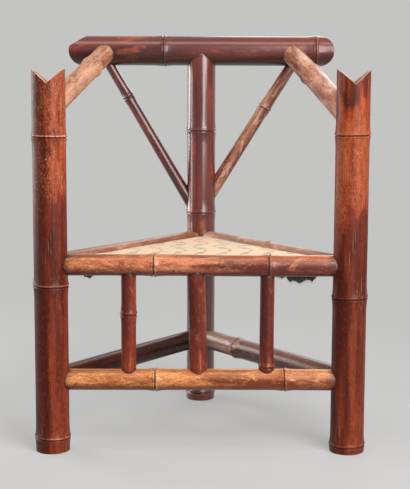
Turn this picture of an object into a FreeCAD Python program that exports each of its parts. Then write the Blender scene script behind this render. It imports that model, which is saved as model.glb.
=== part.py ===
import FreeCAD, Part

import math
import os

from FreeCAD import Placement, Rotation, Vector

# A three-legged corner chair of bamboo canes with a lift-out padded seat.
# Millimetres, +Z up. The front faces -Y, and left and right are as seen from the front.
# The origin is on the floor, under the middle of the chair.

# Layout of the frame
POST_SPACING = 620.0           # between the axes of the two front posts
FRAME_DEPTH = 428.0            # from the front posts' axes back to the rear post's axis
FRONT_POST_HEIGHT = 798.0      # floor to the tips of the front posts
SEAT_RAIL_HEIGHT = 394.5       # floor to the axes of the seat rails
STRETCHER_HEIGHT = 152.5       # floor to the axes of the stretchers
CREST_HEIGHT = 843.0           # floor to the axis of the crest rail
CREST_LENGTH = 624.0           # between the tips of the crest rail

# Canes: outer radius at each end, and thickness of the wall
FRONT_POST_FOOT_RADIUS = 35.4
FRONT_POST_TOP_RADIUS = 34.6
REAR_POST_FOOT_RADIUS = 34.0
REAR_POST_TOP_RADIUS = 33.4
CREST_RADIUS = 34.3
POST_WALL = 6.0
SEAT_RAIL_RADIUS = 22.0
STRETCHER_RADIUS = 22.3
RAIL_WALL = 5.0
LEFT_ARM_RADIUS = 22.3
RIGHT_ARM_RADIUS = 23.3
ARM_WALL = 5.0
LEFT_BRACE_LOWER_RADIUS = 14.2
LEFT_BRACE_UPPER_RADIUS = 11.4
RIGHT_BRACE_LOWER_RADIUS = 15.8
RIGHT_BRACE_UPPER_RADIUS = 12.2
BRACE_WALL = 3.5
LEFT_SPINDLE_RADIUS = 15.8
CENTRE_SPINDLE_RADIUS = 18.4
RIGHT_SPINDLE_RADIUS = 15.2
SPINDLE_WALL = 4.0

# Where the arms, braces and spindles meet the frame
LEFT_ARM_FRONT_HEIGHT = 711.0      # on the front post's axis
RIGHT_ARM_FRONT_HEIGHT = 692.0
LEFT_ARM_REAR_OFFSET = 222.0       # on the crest rail's axis, from the chair's middle
RIGHT_ARM_REAR_OFFSET = 208.0
LEFT_BRACE_FOOT_HEIGHT = 441.0     # on the rear post's axis
RIGHT_BRACE_FOOT_HEIGHT = 469.0
LEFT_BRACE_TOP_OFFSET = 238.0      # on the crest rail's axis, from the chair's middle
RIGHT_BRACE_TOP_OFFSET = 235.0
LEFT_SPINDLE_OFFSET = -149.0       # from the chair's middle
CENTRE_SPINDLE_TOP_OFFSET = -9.5
CENTRE_SPINDLE_FOOT_OFFSET = -3.0
RIGHT_SPINDLE_OFFSET = 139.0

# Nodes of the canes, as distances along each cane from its lower, front or left end
FRONT_LEFT_POST_NODES = (30.0, 352.0, 659.0)
FRONT_RIGHT_POST_NODES = (15.0, 329.0, 665.0)
REAR_POST_NODES = (20.0, 337.0, 460.0, 656.0)
CREST_NODES = (223.0, 581.0)
FRONT_SEAT_RAIL_NODES = (214.0, 452.0)
RIGHT_SEAT_RAIL_NODES = (264.0,)
FRONT_STRETCHER_NODES = (217.0, 486.0)
RIGHT_STRETCHER_NODES = (374.0,)
LEFT_ARM_NODES = (317.0,)
RIGHT_ARM_NODES = (291.0,)
LEFT_BRACE_NODES = (341.0,)
RIGHT_BRACE_NODES = (283.0,)
LEFT_SPINDLE_NODES = (139.5,)
RIGHT_SPINDLE_NODES = (29.5,)

# Form of a node
NODE_SWELL = 1.0               # how far a cane swells towards a node
SWELL_LENGTH = 28.0            # over this length on each side
RING_HEIGHT = 1.1              # of the raised ring on the swelling
RING_HALF_WIDTH = 3.0
WEB_THICKNESS = 5.0            # of the solid wall across the cane, inside a node

# Swallow-tail cuts in the open ends
POST_NOTCH_DEPTH = 30.0
CREST_NOTCH_DEPTH = 29.0
CREST_SLANT_FOOT = 9.6         # above the crest's axis, where the slanting cut of its left end begins
CREST_SLANT_RUN = 40.8         # along the crest, from there to its top

# Joints: a dowel plugs the coped end of a cane, and its tenon goes through the host's wall
COPE_GAP = 0.2
FIT_GAP = 0.1
PLUG_LENGTH = 34.0             # into the cane, measured from the host's surface along the axis
TENON_REACH = 4.0              # past the inner face of the host's wall
RAIL_TENON_RADIUS = 7.5
BRACE_TENON_RADIUS = 5.0
SPINDLE_TENON_RADIUS = 6.5
CREST_TENON_RADIUS = 12.0
NAIL_SET_BACK = 14.0           # from the host's surface to the nail through cane and dowel

# Seat: cleats on the rails carry a board with stuffing under a fabric cover
CLEAT_DROP = 2.8               # from the rails' axes down to the top of the cleats
CLEAT_WIDTH = 16.0             # past the inner side of the rail
CLEAT_HEIGHT = 12.0
CLEAT_END_GAP = 5.0
SEAT_CLEARANCE = 1.0           # around the seat, past the rings of the rails
SEAT_REST_GAP = 0.3            # under the seat
SEAT_CORNER_RADIUS = 14.0
BOARD_THICKNESS = 8.0
COVER_THICKNESS = 1.2
COVER_EDGE_HEIGHT = 2.0        # of the cover's edge above the board
CROWN_RISE = 8.5               # from the edge to the middle of the seat
CROWN_REACH = 105.0            # from the edge to where the seat is level
CROWN_STEPS = (0.0, 0.04, 0.12, 0.25, 0.45, 0.7, 1.0)
COVER_TURN_UNDER = 26.0

# Dust cover of thin cloth, tacked under the cleats and torn along its front edge
DUST_COVER_THICKNESS = 1.0
TORN_RIGHT_EDGE = ((156, 0), (160, 12), (170, 17), (178, 14), (188, 24), (196, 21), (207, 28),
                   (222, 20), (236, 24), (244, 11), (250, 0))       # offset from the middle, drop
TORN_LEFT_EDGE = ((-248, 0), (-243, 14), (-232, 19), (-226, 13), (-219, 0))

# Fasteners
COVER_TACKS_PER_SIDE = 7
DUST_TACKS_PER_SIDE = 5
NAILS_PER_CLEAT = 3
NAIL_HEAD_SINK = 0.7           # of a nail's head below the surface of a cane

OVERRUN = 5.0                  # of a cutting shape past what it cuts

SPINDLE_PLACES = ("left", "centre", "right")
UP = Vector(0, 0, 1)
BACKWARD = Vector(0, 1, 0)
RIGHTWARD = Vector(1, 0, 0)


class Cane:
    """A length of bamboo between two points, round and hollow, with a ring and a web at each node."""

    def __init__(self, start, end, start_radius, end_radius, wall, nodes=()):
        self.start = start
        self.end = end
        self.length = (end - start).Length
        self.direction = (end - start) / self.length
        self.start_radius = start_radius
        self.end_radius = end_radius
        self.bore_radius = min(start_radius, end_radius) - wall
        self.nodes = nodes

    def point(self, distance):
        return self.start + self.direction * distance

    def radius_at(self, distance):
        """Outer radius without the ring: an even taper, with a swelling towards each node."""
        taper = self.start_radius + (self.end_radius - self.start_radius) * distance / self.length
        swelling = max([1 - abs(distance - node) / SWELL_LENGTH for node in self.nodes] + [0.0])
        return taper + NODE_SWELL * swelling

    def blank(self, grow=0.0):
        """The outer form as a solid, grown by a clearance where it cuts another piece."""
        stations = {0.0, self.length}
        for node in self.nodes:
            for offset in (SWELL_LENGTH, RING_HALF_WIDTH):
                stations.update((node - offset, node + offset))
        stations = sorted(place for place in stations if 0 <= place <= self.length)
        edges = [Part.makeLine(Vector(0, 0, 0), Vector(self.radius_at(0) + grow, 0, 0))]
        for low, high in zip(stations, stations[1:]):
            first = Vector(self.radius_at(low) + grow, 0, low)
            last = Vector(self.radius_at(high) + grow, 0, high)
            node = next((place for place in self.nodes if low < place < high), None)
            if node is None:
                edges.append(Part.makeLine(first, last))
            else:
                top = Vector(self.radius_at(node) + grow + RING_HEIGHT, 0, node)
                edges.append(Part.Arc(first, top, last).toShape())
        end_radius = self.radius_at(self.length) + grow
        edges.append(Part.makeLine(Vector(end_radius, 0, self.length), Vector(0, 0, self.length)))
        edges.append(Part.makeLine(Vector(0, 0, self.length), Vector(0, 0, 0)))
        solid = Part.Face(Part.Wire(edges)).revolve(Vector(0, 0, 0), UP, 360)
        solid.Placement = Placement(self.start, Rotation(UP, self.direction))
        return solid

    def bores(self):
        """The hollows between the webs, run out past both open ends."""
        edges = [-OVERRUN]
        for node in self.nodes:
            edges += [node - WEB_THICKNESS / 2, node + WEB_THICKNESS / 2]
        edges.append(self.length + OVERRUN)
        return [Part.makeCylinder(self.bore_radius, high - low, self.point(low), self.direction)
                for low, high in zip(edges[::2], edges[1::2])]


class Fastener:
    """A nail or tack, and the hole that it makes."""

    def __init__(self, shank_radius, length, head_radius, head_height):
        self.shank_radius = shank_radius
        self.length = length
        self.head_radius = head_radius
        self.head_height = head_height

    def solid(self, point, inward):
        """The fastener, with the underside of its head at the point."""
        shank = Part.makeCylinder(self.shank_radius, self.length, point, inward)
        head_top = point - inward * self.head_height
        head = Part.makeCylinder(self.head_radius, self.head_height, head_top, inward)
        return head.fuse(shank).removeSplitter()

    def hole(self, point, inward):
        """The hole for the shank, with a recess for the head where the head is sunk."""
        shank = Part.makeCylinder(self.shank_radius + FIT_GAP, self.length + FIT_GAP, point, inward)
        outside = point - inward * OVERRUN
        recess = Part.makeCylinder(self.head_radius + FIT_GAP, OVERRUN, outside, inward)
        return recess.fuse(shank)


class Joint:
    """The coped end of a cane on its host, with the dowel and the nail that hold it."""

    def __init__(self, cane, at_start, host, tenon_radius, nail_side, beside=()):
        self.root = cane.start if at_start else cane.end
        self.away = cane.direction if at_start else cane.direction * -1
        self.host = host
        self.beside = beside
        self.tenon_radius = tenon_radius
        self.plug_radius = cane.bore_radius - FIT_GAP
        slant = self.away.cross(host.direction).Length
        self.face = host.radius_at((self.root - host.start).dot(host.direction)) / slant
        self.stop = (host.bore_radius - TENON_REACH) / slant
        webs = [node if at_start else cane.length - node for node in cane.nodes]
        room = min([place - WEB_THICKNESS / 2 - FIT_GAP for place in webs] + [cane.length])
        self.plug_end = min(self.face + PLUG_LENGTH, room)
        from_root = self.face + min(NAIL_SET_BACK, (self.plug_end - self.face) / 2)
        side = nail_side - self.away * nail_side.dot(self.away)
        side.normalize()
        self.nail_inward = side * -1
        along = from_root if at_start else cane.length - from_root
        self.nail_point = cane.point(along) + side * (cane.radius_at(along) - NAIL_HEAD_SINK)

    def cylinder(self, radius, low, high):
        return Part.makeCylinder(radius, high - low, self.root + self.away * low, self.away)

    def copes(self):
        """What the end of the cane, and the plug in it, are cut to fit."""
        return [self.host.blank(COPE_GAP)] + [cane.blank(COPE_GAP) for cane in self.beside]

    def socket(self):
        """The hole through the host's wall for the tenon."""
        return self.cylinder(self.tenon_radius + FIT_GAP, self.stop - FIT_GAP, self.plug_end)

    def dowel(self):
        plug = self.cylinder(self.plug_radius, 0, self.plug_end).cut(self.copes())
        tenon = self.cylinder(self.tenon_radius, self.stop, (self.face + self.plug_end) / 2)
        cuts = [cane.blank(COPE_GAP) for cane in self.beside] + [self.nail_hole()]
        return plug.fuse(tenon).cut(cuts)

    def nail(self):
        return NAIL.solid(self.nail_point, self.nail_inward)

    def nail_hole(self):
        return NAIL.hole(self.nail_point, self.nail_inward)


NAIL = Fastener(shank_radius=1.0, length=12.0, head_radius=2.4, head_height=0.8)
CLEAT_NAIL = Fastener(shank_radius=1.1, length=22.0, head_radius=2.8, head_height=0.8)
TACK = Fastener(shank_radius=0.8, length=6.0, head_radius=3.0, head_height=0.7)

# Corners of the frame, on the floor
FRONT_REACH = FRONT_POST_FOOT_RADIUS + NODE_SWELL + RING_HEIGHT
REAR_REACH = CREST_RADIUS + NODE_SWELL + RING_HEIGHT
FRONT_Y = -(FRAME_DEPTH + REAR_REACH - FRONT_REACH) / 2
REAR_Y = FRONT_Y + FRAME_DEPTH
LEFT_CORNER = Vector(-POST_SPACING / 2, FRONT_Y, 0)
RIGHT_CORNER = Vector(POST_SPACING / 2, FRONT_Y, 0)
REAR_CORNER = Vector(0, REAR_Y, 0)


def front_point(offset, height):
    return Vector(offset, FRONT_Y, height)


def rear_point(offset, height):
    return Vector(offset, REAR_Y, height)


def post(corner, height, foot_radius, top_radius, nodes):
    return Cane(corner, corner + UP * height, foot_radius, top_radius, POST_WALL, nodes)


def rail(first, second, height, radius, nodes=()):
    return Cane(first + UP * height, second + UP * height, radius, radius, RAIL_WALL, nodes)


def spindle(foot_offset, top_offset, radius, nodes=()):
    foot = front_point(foot_offset, STRETCHER_HEIGHT)
    top = front_point(top_offset, SEAT_RAIL_HEIGHT)
    return Cane(foot, top, radius, radius, SPINDLE_WALL, nodes)


def make_canes():
    """All canes by name, as they run from axis to axis before their ends are cut."""
    half_crest = CREST_LENGTH / 2
    front_radii = (FRONT_POST_FOOT_RADIUS, FRONT_POST_TOP_RADIUS)
    rear_radii = (REAR_POST_FOOT_RADIUS, REAR_POST_TOP_RADIUS)
    return {
        "front_left_post": post(LEFT_CORNER, FRONT_POST_HEIGHT, *front_radii, FRONT_LEFT_POST_NODES),
        "front_right_post": post(RIGHT_CORNER, FRONT_POST_HEIGHT, *front_radii, FRONT_RIGHT_POST_NODES),
        "rear_post": post(REAR_CORNER, CREST_HEIGHT, *rear_radii, REAR_POST_NODES),
        "crest_rail": Cane(rear_point(-half_crest, CREST_HEIGHT), rear_point(half_crest, CREST_HEIGHT),
                           CREST_RADIUS, CREST_RADIUS, POST_WALL, CREST_NODES),
        "front_seat_rail": rail(LEFT_CORNER, RIGHT_CORNER, SEAT_RAIL_HEIGHT, SEAT_RAIL_RADIUS,
                                FRONT_SEAT_RAIL_NODES),
        "left_seat_rail": rail(LEFT_CORNER, REAR_CORNER, SEAT_RAIL_HEIGHT, SEAT_RAIL_RADIUS),
        "right_seat_rail": rail(RIGHT_CORNER, REAR_CORNER, SEAT_RAIL_HEIGHT, SEAT_RAIL_RADIUS,
                                RIGHT_SEAT_RAIL_NODES),
        "front_stretcher": rail(LEFT_CORNER, RIGHT_CORNER, STRETCHER_HEIGHT, STRETCHER_RADIUS,
                                FRONT_STRETCHER_NODES),
        "left_stretcher": rail(LEFT_CORNER, REAR_CORNER, STRETCHER_HEIGHT, STRETCHER_RADIUS),
        "right_stretcher": rail(RIGHT_CORNER, REAR_CORNER, STRETCHER_HEIGHT, STRETCHER_RADIUS,
                                RIGHT_STRETCHER_NODES),
        "left_arm": Cane(LEFT_CORNER + UP * LEFT_ARM_FRONT_HEIGHT,
                         rear_point(-LEFT_ARM_REAR_OFFSET, CREST_HEIGHT),
                         LEFT_ARM_RADIUS, LEFT_ARM_RADIUS, ARM_WALL, LEFT_ARM_NODES),
        "right_arm": Cane(RIGHT_CORNER + UP * RIGHT_ARM_FRONT_HEIGHT,
                          rear_point(RIGHT_ARM_REAR_OFFSET, CREST_HEIGHT),
                          RIGHT_ARM_RADIUS, RIGHT_ARM_RADIUS, ARM_WALL, RIGHT_ARM_NODES),
        "left_brace": Cane(rear_point(0, LEFT_BRACE_FOOT_HEIGHT),
                           rear_point(-LEFT_BRACE_TOP_OFFSET, CREST_HEIGHT),
                           LEFT_BRACE_LOWER_RADIUS, LEFT_BRACE_UPPER_RADIUS, BRACE_WALL,
                           LEFT_BRACE_NODES),
        "right_brace": Cane(rear_point(0, RIGHT_BRACE_FOOT_HEIGHT),
                            rear_point(RIGHT_BRACE_TOP_OFFSET, CREST_HEIGHT),
                            RIGHT_BRACE_LOWER_RADIUS, RIGHT_BRACE_UPPER_RADIUS, BRACE_WALL,
                            RIGHT_BRACE_NODES),
        "left_spindle": spindle(LEFT_SPINDLE_OFFSET, LEFT_SPINDLE_OFFSET, LEFT_SPINDLE_RADIUS,
                                LEFT_SPINDLE_NODES),
        "centre_spindle": spindle(CENTRE_SPINDLE_FOOT_OFFSET, CENTRE_SPINDLE_TOP_OFFSET,
                                  CENTRE_SPINDLE_RADIUS),
        "right_spindle": spindle(RIGHT_SPINDLE_OFFSET, RIGHT_SPINDLE_OFFSET, RIGHT_SPINDLE_RADIUS,
                                 RIGHT_SPINDLE_NODES),
    }


def level_joints(canes, kind, group):
    """Joints of the three rails or stretchers at one level, as (group, cane, host, joint)."""
    front = canes["front_" + kind]
    left = canes["left_" + kind]
    ends = (("front_" + kind, True, "front_left_post", ()),
            ("front_" + kind, False, "front_right_post", ()),
            ("left_" + kind, True, "front_left_post", (front,)),
            ("left_" + kind, False, "rear_post", ()),
            ("right_" + kind, True, "front_right_post", (front,)),
            ("right_" + kind, False, "rear_post", (left,)))
    return [(group, name, host, Joint(canes[name], at_start, canes[host], RAIL_TENON_RADIUS,
                                      UP * -1, beside))
            for name, at_start, host, beside in ends]


def make_joints(canes):
    """All joints, as (dowel group, cane, host, joint)."""
    joints = level_joints(canes, "seat_rail", "seat_rail_dowels")
    joints += level_joints(canes, "stretcher", "stretcher_dowels")
    for side in ("left", "right"):
        arm = canes[side + "_arm"]
        brace = canes[side + "_brace"]
        for name, cane, at_start, host, radius, nail_side in (
                ("arm", arm, True, "front_%s_post" % side, RAIL_TENON_RADIUS, UP * -1),
                ("arm", arm, False, "crest_rail", RAIL_TENON_RADIUS, UP * -1),
                ("brace", brace, True, "rear_post", BRACE_TENON_RADIUS, BACKWARD),
                ("brace", brace, False, "crest_rail", BRACE_TENON_RADIUS, BACKWARD)):
            joint = Joint(cane, at_start, canes[host], radius, nail_side)
            joints.append((name + "_dowels", "%s_%s" % (side, name), host, joint))
    for place in SPINDLE_PLACES:
        name = place + "_spindle"
        for at_start, host in ((True, "front_stretcher"), (False, "front_seat_rail")):
            joint = Joint(canes[name], at_start, canes[host], SPINDLE_TENON_RADIUS, BACKWARD)
            joints.append(("spindle_dowels", name, host, joint))
    joint = Joint(canes["rear_post"], False, canes["crest_rail"], CREST_TENON_RADIUS, BACKWARD)
    joints.append(("crest_dowel", "rear_post", "crest_rail", joint))
    return joints


def notch(tip_middle, outward, across, radius, depth):
    """A wedge that cuts a swallow tail into the open end of a cane, with its tips apart along across."""
    valley = tip_middle - outward * depth
    reach = 1.5
    spread = across * radius * reach
    rise = outward * depth * reach
    along = outward.cross(across)
    corners = [valley, valley + rise + spread, valley + rise - spread, valley]
    base = Part.Face(Part.makePolygon([corner - along * radius * reach for corner in corners]))
    return base.extrude(along * radius * reach * 2)


def slant(crest):
    """A wedge that cuts the upper side of the crest rail's left end off at a slant."""
    reach = 1.5
    along = RIGHTWARD * CREST_SLANT_RUN + UP * (CREST_RADIUS - CREST_SLANT_FOOT)
    foot = crest.start + UP * CREST_SLANT_FOOT - BACKWARD * CREST_RADIUS * reach
    low = foot - along * (reach - 1)
    high = foot + along * reach
    corner = low + UP * (high - low).dot(UP)
    base = Part.Face(Part.makePolygon([low, high, corner, low]))
    return base.extrude(BACKWARD * CREST_RADIUS * reach * 2)


def make_notches(canes):
    """Notch and slant cuts by cane."""
    crest = canes["crest_rail"]
    cuts = {"crest_rail": [notch(crest.start, RIGHTWARD * -1, BACKWARD, CREST_RADIUS, CREST_NOTCH_DEPTH),
                           notch(crest.end, RIGHTWARD, BACKWARD, CREST_RADIUS, CREST_NOTCH_DEPTH),
                           slant(crest)]}
    for name in ("front_left_post", "front_right_post"):
        cuts[name] = [notch(canes[name].end, UP, RIGHTWARD, FRONT_POST_TOP_RADIUS, POST_NOTCH_DEPTH)]
    return cuts


# Seat, worked out from the rails
SEAT_INSET = SEAT_RAIL_RADIUS + NODE_SWELL + RING_HEIGHT + SEAT_CLEARANCE
CLEAT_INSET = SEAT_RAIL_RADIUS + CLEAT_WIDTH
CLEAT_TOP = SEAT_RAIL_HEIGHT - CLEAT_DROP
COVER_BOTTOM = CLEAT_TOP + SEAT_REST_GAP
BOARD_BOTTOM = COVER_BOTTOM + COVER_THICKNESS
BOARD_TOP = BOARD_BOTTOM + BOARD_THICKNESS
COVER_EDGE = BOARD_TOP + COVER_THICKNESS + COVER_EDGE_HEIGHT
COVER_TACK_INSET = CLEAT_INSET + 2 * TACK.head_radius
DUST_COVER_TOP = CLEAT_TOP - CLEAT_HEIGHT - FIT_GAP
DUST_TACK_INSET = SEAT_RAIL_RADIUS + CLEAT_WIDTH / 2


def towards(first, second):
    return (second - first) / (second - first).Length


def bisector(corner):
    """The direction from a corner into the triangle, and half of the corner's angle."""
    others = [other for other in (LEFT_CORNER, RIGHT_CORNER, REAR_CORNER) if other != corner]
    sides = [towards(corner, other) for other in others]
    middle = sides[0] + sides[1]
    middle.normalize()
    return middle, math.asin((sides[0] - sides[1]).Length / 2)


def inset_corner(corner, inset):
    """The corner of a triangle that lies inside the rails' axes by the inset."""
    middle, half_angle = bisector(corner)
    return corner + middle * (inset / math.sin(half_angle))


def rounded_triangle(inset, height):
    """A level wire inside the rails' axes by the inset, with rounded corners."""
    arcs = []
    corners = (LEFT_CORNER, RIGHT_CORNER, REAR_CORNER)
    for index, corner in enumerate(corners):
        middle, half_angle = bisector(corner)
        tip = inset_corner(corner, inset) + UP * height
        before = towards(corner, corners[index - 1])
        after = towards(corner, corners[(index + 1) % 3])
        back = SEAT_CORNER_RADIUS / math.tan(half_angle)
        nearest = SEAT_CORNER_RADIUS / math.sin(half_angle) - SEAT_CORNER_RADIUS
        arcs.append((tip + before * back, tip + middle * nearest, tip + after * back))
    edges = []
    for index, (first, middle, last) in enumerate(arcs):
        edges.append(Part.Arc(first, middle, last).toShape())
        edges.append(Part.makeLine(last, arcs[(index + 1) % 3][0]))
    return Part.Wire(edges)


def seat_form(shrink, bottom):
    """The crowned form of the seat from a level bottom up, smaller all round by shrink."""
    sections = [(0.0, bottom)]
    for step in CROWN_STEPS:
        height = COVER_EDGE + CROWN_RISE * (1 - (1 - step) ** 2) - shrink
        sections.append((step * CROWN_REACH, height))
    wires = [rounded_triangle(SEAT_INSET + shrink + inset, height) for inset, height in sections]
    return Part.makeLoft(wires, True, True)


def level_plate(inset, bottom, thickness):
    return Part.Face(rounded_triangle(inset, bottom)).extrude(UP * thickness)


def spaced(first, second, count):
    """Points spaced evenly between two points, half a space from each."""
    return [first + (second - first) * ((index + 0.5) / count) for index in range(count)]


def tack_points(inset, height, count):
    """Points along the three sides of a triangle inside the rails' axes."""
    corners = [inset_corner(corner, inset) + UP * height
               for corner in (LEFT_CORNER, RIGHT_CORNER, REAR_CORNER)]
    return [point for index, corner in enumerate(corners)
            for point in spaced(corner, corners[(index + 1) % 3], count)]


def make_seat():
    """The lift-out seat, by node."""
    inside = COVER_THICKNESS + FIT_GAP
    board = level_plate(SEAT_INSET + inside, BOARD_BOTTOM, BOARD_THICKNESS)
    stuffing = seat_form(inside, BOARD_TOP + FIT_GAP)
    opening = level_plate(SEAT_INSET + COVER_TURN_UNDER, COVER_BOTTOM - OVERRUN, OVERRUN * 2)
    cover = seat_form(0.0, COVER_BOTTOM).cut([seat_form(COVER_THICKNESS, BOARD_BOTTOM), opening])
    points = tack_points(COVER_TACK_INSET, COVER_BOTTOM, COVER_TACKS_PER_SIDE)
    holes = [TACK.hole(point, UP) for point in points]
    return {
        "seat_board": [board.cut(holes)],
        "seat_stuffing": [stuffing],
        "seat_cover": [cover.cut(holes)],
        "cover_tacks": [TACK.solid(point, UP) for point in points],
    }


def cleat_span(name, rail_cane):
    """How far along its rail a cleat runs, clear of the rails and cleats beside it."""
    half_angle = bisector(LEFT_CORNER)[1]
    if name == "front":
        sine, cosine = math.sin(2 * half_angle), math.cos(2 * half_angle)
        end = (SEAT_RAIL_RADIUS + CLEAT_INSET * cosine) / sine + CLEAT_END_GAP
        return end, rail_cane.length - end
    front_end = CLEAT_INSET / math.tan(half_angle) + CLEAT_END_GAP
    rear_end = CLEAT_INSET / math.tan(bisector(REAR_CORNER)[1]) + CLEAT_END_GAP
    return front_end, rail_cane.length - rear_end


def make_cleats(canes):
    """The cleats by node, their nails, the nail holes by cane, and the dust cover."""
    dust_points = tack_points(DUST_TACK_INSET, DUST_COVER_TOP - DUST_COVER_THICKNESS,
                              DUST_TACKS_PER_SIDE)
    dust_holes = [TACK.hole(point, UP) for point in dust_points]
    pieces = {"cleat_nails": [], "dust_cover_tacks": [TACK.solid(point, UP) for point in dust_points]}
    rail_holes = {}
    middle = (LEFT_CORNER + RIGHT_CORNER + REAR_CORNER) / 3
    for name in ("front", "left", "right"):
        cane = canes[name + "_seat_rail"]
        to_middle = middle + UP * SEAT_RAIL_HEIGHT - cane.start
        inward = to_middle - cane.direction * to_middle.dot(cane.direction)
        inward.normalize()
        low, high = cleat_span(name, cane)
        top = UP * -CLEAT_DROP
        bottom = top - UP * CLEAT_HEIGHT
        outer = inward * (SEAT_RAIL_RADIUS / 2)
        inner = inward * CLEAT_INSET
        outline = [cane.point(low) + corner
                   for corner in (outer + bottom, inner + bottom, inner + top, outer + top)]
        bar = Part.Face(Part.makePolygon(outline + outline[:1])).extrude(cane.direction * (high - low))
        nail_height = (top + bottom) / 2
        points = [point + inner + nail_height
                  for point in spaced(cane.point(low), cane.point(high), NAILS_PER_CLEAT)]
        holes = [CLEAT_NAIL.hole(point, inward * -1) for point in points]
        copes = [cane.blank(COPE_GAP)] + ([canes[place + "_spindle"].blank(COPE_GAP)
                                           for place in SPINDLE_PLACES] if name == "front" else [])
        pieces[name + "_cleat"] = [bar.cut(copes + holes + dust_holes)]
        pieces["cleat_nails"] += [CLEAT_NAIL.solid(point, inward * -1) for point in points]
        rail_holes[cane] = holes
    pieces["dust_cover"] = [make_dust_cover().cut(dust_holes)]
    return pieces, rail_holes


def make_dust_cover():
    """A thin cloth under the cleats, with the torn strips that hang from its front edge."""
    bottom = DUST_COVER_TOP - DUST_COVER_THICKNESS
    cloth = level_plate(SEAT_INSET, bottom, DUST_COVER_THICKNESS)
    edge = FRONT_Y + SEAT_INSET
    strips = []
    for outline in (TORN_RIGHT_EDGE, TORN_LEFT_EDGE):
        corners = [Vector(offset, edge, DUST_COVER_TOP - drop) for offset, drop in outline]
        face = Part.Face(Part.makePolygon(corners + corners[:1]))
        strips.append(face.extrude(BACKWARD * DUST_COVER_THICKNESS))
    return cloth.fuse(strips).removeSplitter()


def make_frame():
    """Every node of the chair, as lists of solids by name."""
    canes = make_canes()
    cuts = {name: cane.bores() for name, cane in canes.items()}
    for name, wedges in make_notches(canes).items():
        cuts[name] += wedges
    nodes = {"joint_nails": []}
    for group, name, host, joint in make_joints(canes):
        cuts[name] += joint.copes() + [joint.nail_hole()]
        cuts[host].append(joint.socket())
        nodes.setdefault(group, []).append(joint.dowel())
        nodes["joint_nails"].append(joint.nail())
    cleat_nodes, rail_holes = make_cleats(canes)
    nodes.update(cleat_nodes)
    for name, cane in canes.items():
        nodes[name] = [cane.blank().cut(cuts[name] + rail_holes.get(cane, []))]
    nodes.update(make_seat())
    return nodes


def save(name, shapes):
    """Write one node as a STEP file, after a check that each piece is one sound solid."""
    solids = [solid for shape in shapes for solid in shape.Solids]
    if len(solids) != len(shapes) or not all(solid.isValid() for solid in solids):
        raise ValueError("%s has %d solids for %d pieces" % (name, len(solids), len(shapes)))
    piece = solids[0] if len(solids) == 1 else Part.makeCompound(solids)
    piece.exportStep(os.path.join("parts", name + ".step"))


os.makedirs("parts", exist_ok=True)
for node_name, node_shapes in make_frame().items():
    save(node_name, node_shapes)
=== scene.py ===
"""The looks of a corner chair of bamboo canes: stained and worn canes, a padded seat and its dust cover."""

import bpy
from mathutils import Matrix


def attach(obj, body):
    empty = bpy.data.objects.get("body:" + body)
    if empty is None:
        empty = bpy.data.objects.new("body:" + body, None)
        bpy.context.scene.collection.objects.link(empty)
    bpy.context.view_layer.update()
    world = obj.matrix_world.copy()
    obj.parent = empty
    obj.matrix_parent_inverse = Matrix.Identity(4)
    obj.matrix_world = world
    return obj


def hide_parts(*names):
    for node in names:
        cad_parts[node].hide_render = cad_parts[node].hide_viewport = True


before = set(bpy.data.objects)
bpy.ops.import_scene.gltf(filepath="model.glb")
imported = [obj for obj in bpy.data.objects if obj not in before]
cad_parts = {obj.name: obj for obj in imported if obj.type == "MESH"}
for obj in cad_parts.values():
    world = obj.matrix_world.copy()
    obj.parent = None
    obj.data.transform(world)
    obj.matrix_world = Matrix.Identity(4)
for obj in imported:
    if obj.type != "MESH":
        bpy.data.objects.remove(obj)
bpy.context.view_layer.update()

import logging
import math
import random
from dataclasses import dataclass, field, replace
from enum import Enum

import bpy
import numpy as np
from mathutils import Euler, Matrix, Vector

LOG = logging.getLogger("corner_chair")
MM = 0.001

# Layout of the frame, in metres, as in the part's source
POST_SPACING = 0.620
FRONT_Y = -0.21345
REAR_Y = 0.21455
LEFT_CORNER = Vector((-POST_SPACING / 2, FRONT_Y, 0.0))
RIGHT_CORNER = Vector((POST_SPACING / 2, FRONT_Y, 0.0))
REAR_CORNER = Vector((0.0, REAR_Y, 0.0))
CORNERS = (LEFT_CORNER, RIGHT_CORNER, REAR_CORNER)
SEAT_RAIL_HEIGHT = 0.3945
STRETCHER_HEIGHT = 0.1525
CREST_HEIGHT = 0.843
SEAT_INSET = 0.0251            # of the pad and the dust cover, inside the rails' axes
UP = Vector((0.0, 0.0, 1.0))
RIGHTWARD = Vector((1.0, 0.0, 0.0))
BACKWARD = Vector((0.0, 1.0, 0.0))

# Form of the canes' nodes
NODE_SWELL = 1.3 * MM
SWELL_LENGTH = 26.0 * MM
RING_HEIGHT = 1.5 * MM
RING_WIDTH = 4.6 * MM
SCAR_DEPTH = 2.2 * MM
GROOVE_RUN_IN = 4.0 * MM       # to either side of where a groove begins
NO_NODE = -10.0                # place of a node that a cane doesn't have
MOST_NODES = 4

# Mesh of the canes
RIM_CHAMFER = 0.7 * MM         # round a sawn or notched end
COPE_SINK = 0.4 * MM           # of a coped end into its host
TRIM_MARGIN = 1.5 * MM         # from the furthest cut to the first level row
CUT_ROW_STEP = 4.0 * MM        # between rows that follow a cut
LEVEL_ROW_STEP = 9.0 * MM      # between level rows, away from the nodes
LEAST_ROW_STEP = 0.7 * MM
OPEN_BORE_DEPTH = 45.0 * MM    # that shows in an open end where no web comes first
WEB_HALF = 2.5 * MM
THICK_STRANDS = 72             # round a post
THIN_STRANDS = 40              # round a brace or spindle

ZERO = (0.0, 0.0, 0.0)
FLOAT = "NodeSocketFloat"
COLOUR = "NodeSocketColor"
GEOMETRY = "NodeSocketGeometry"
MATERIAL = "NodeSocketMaterial"

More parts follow.
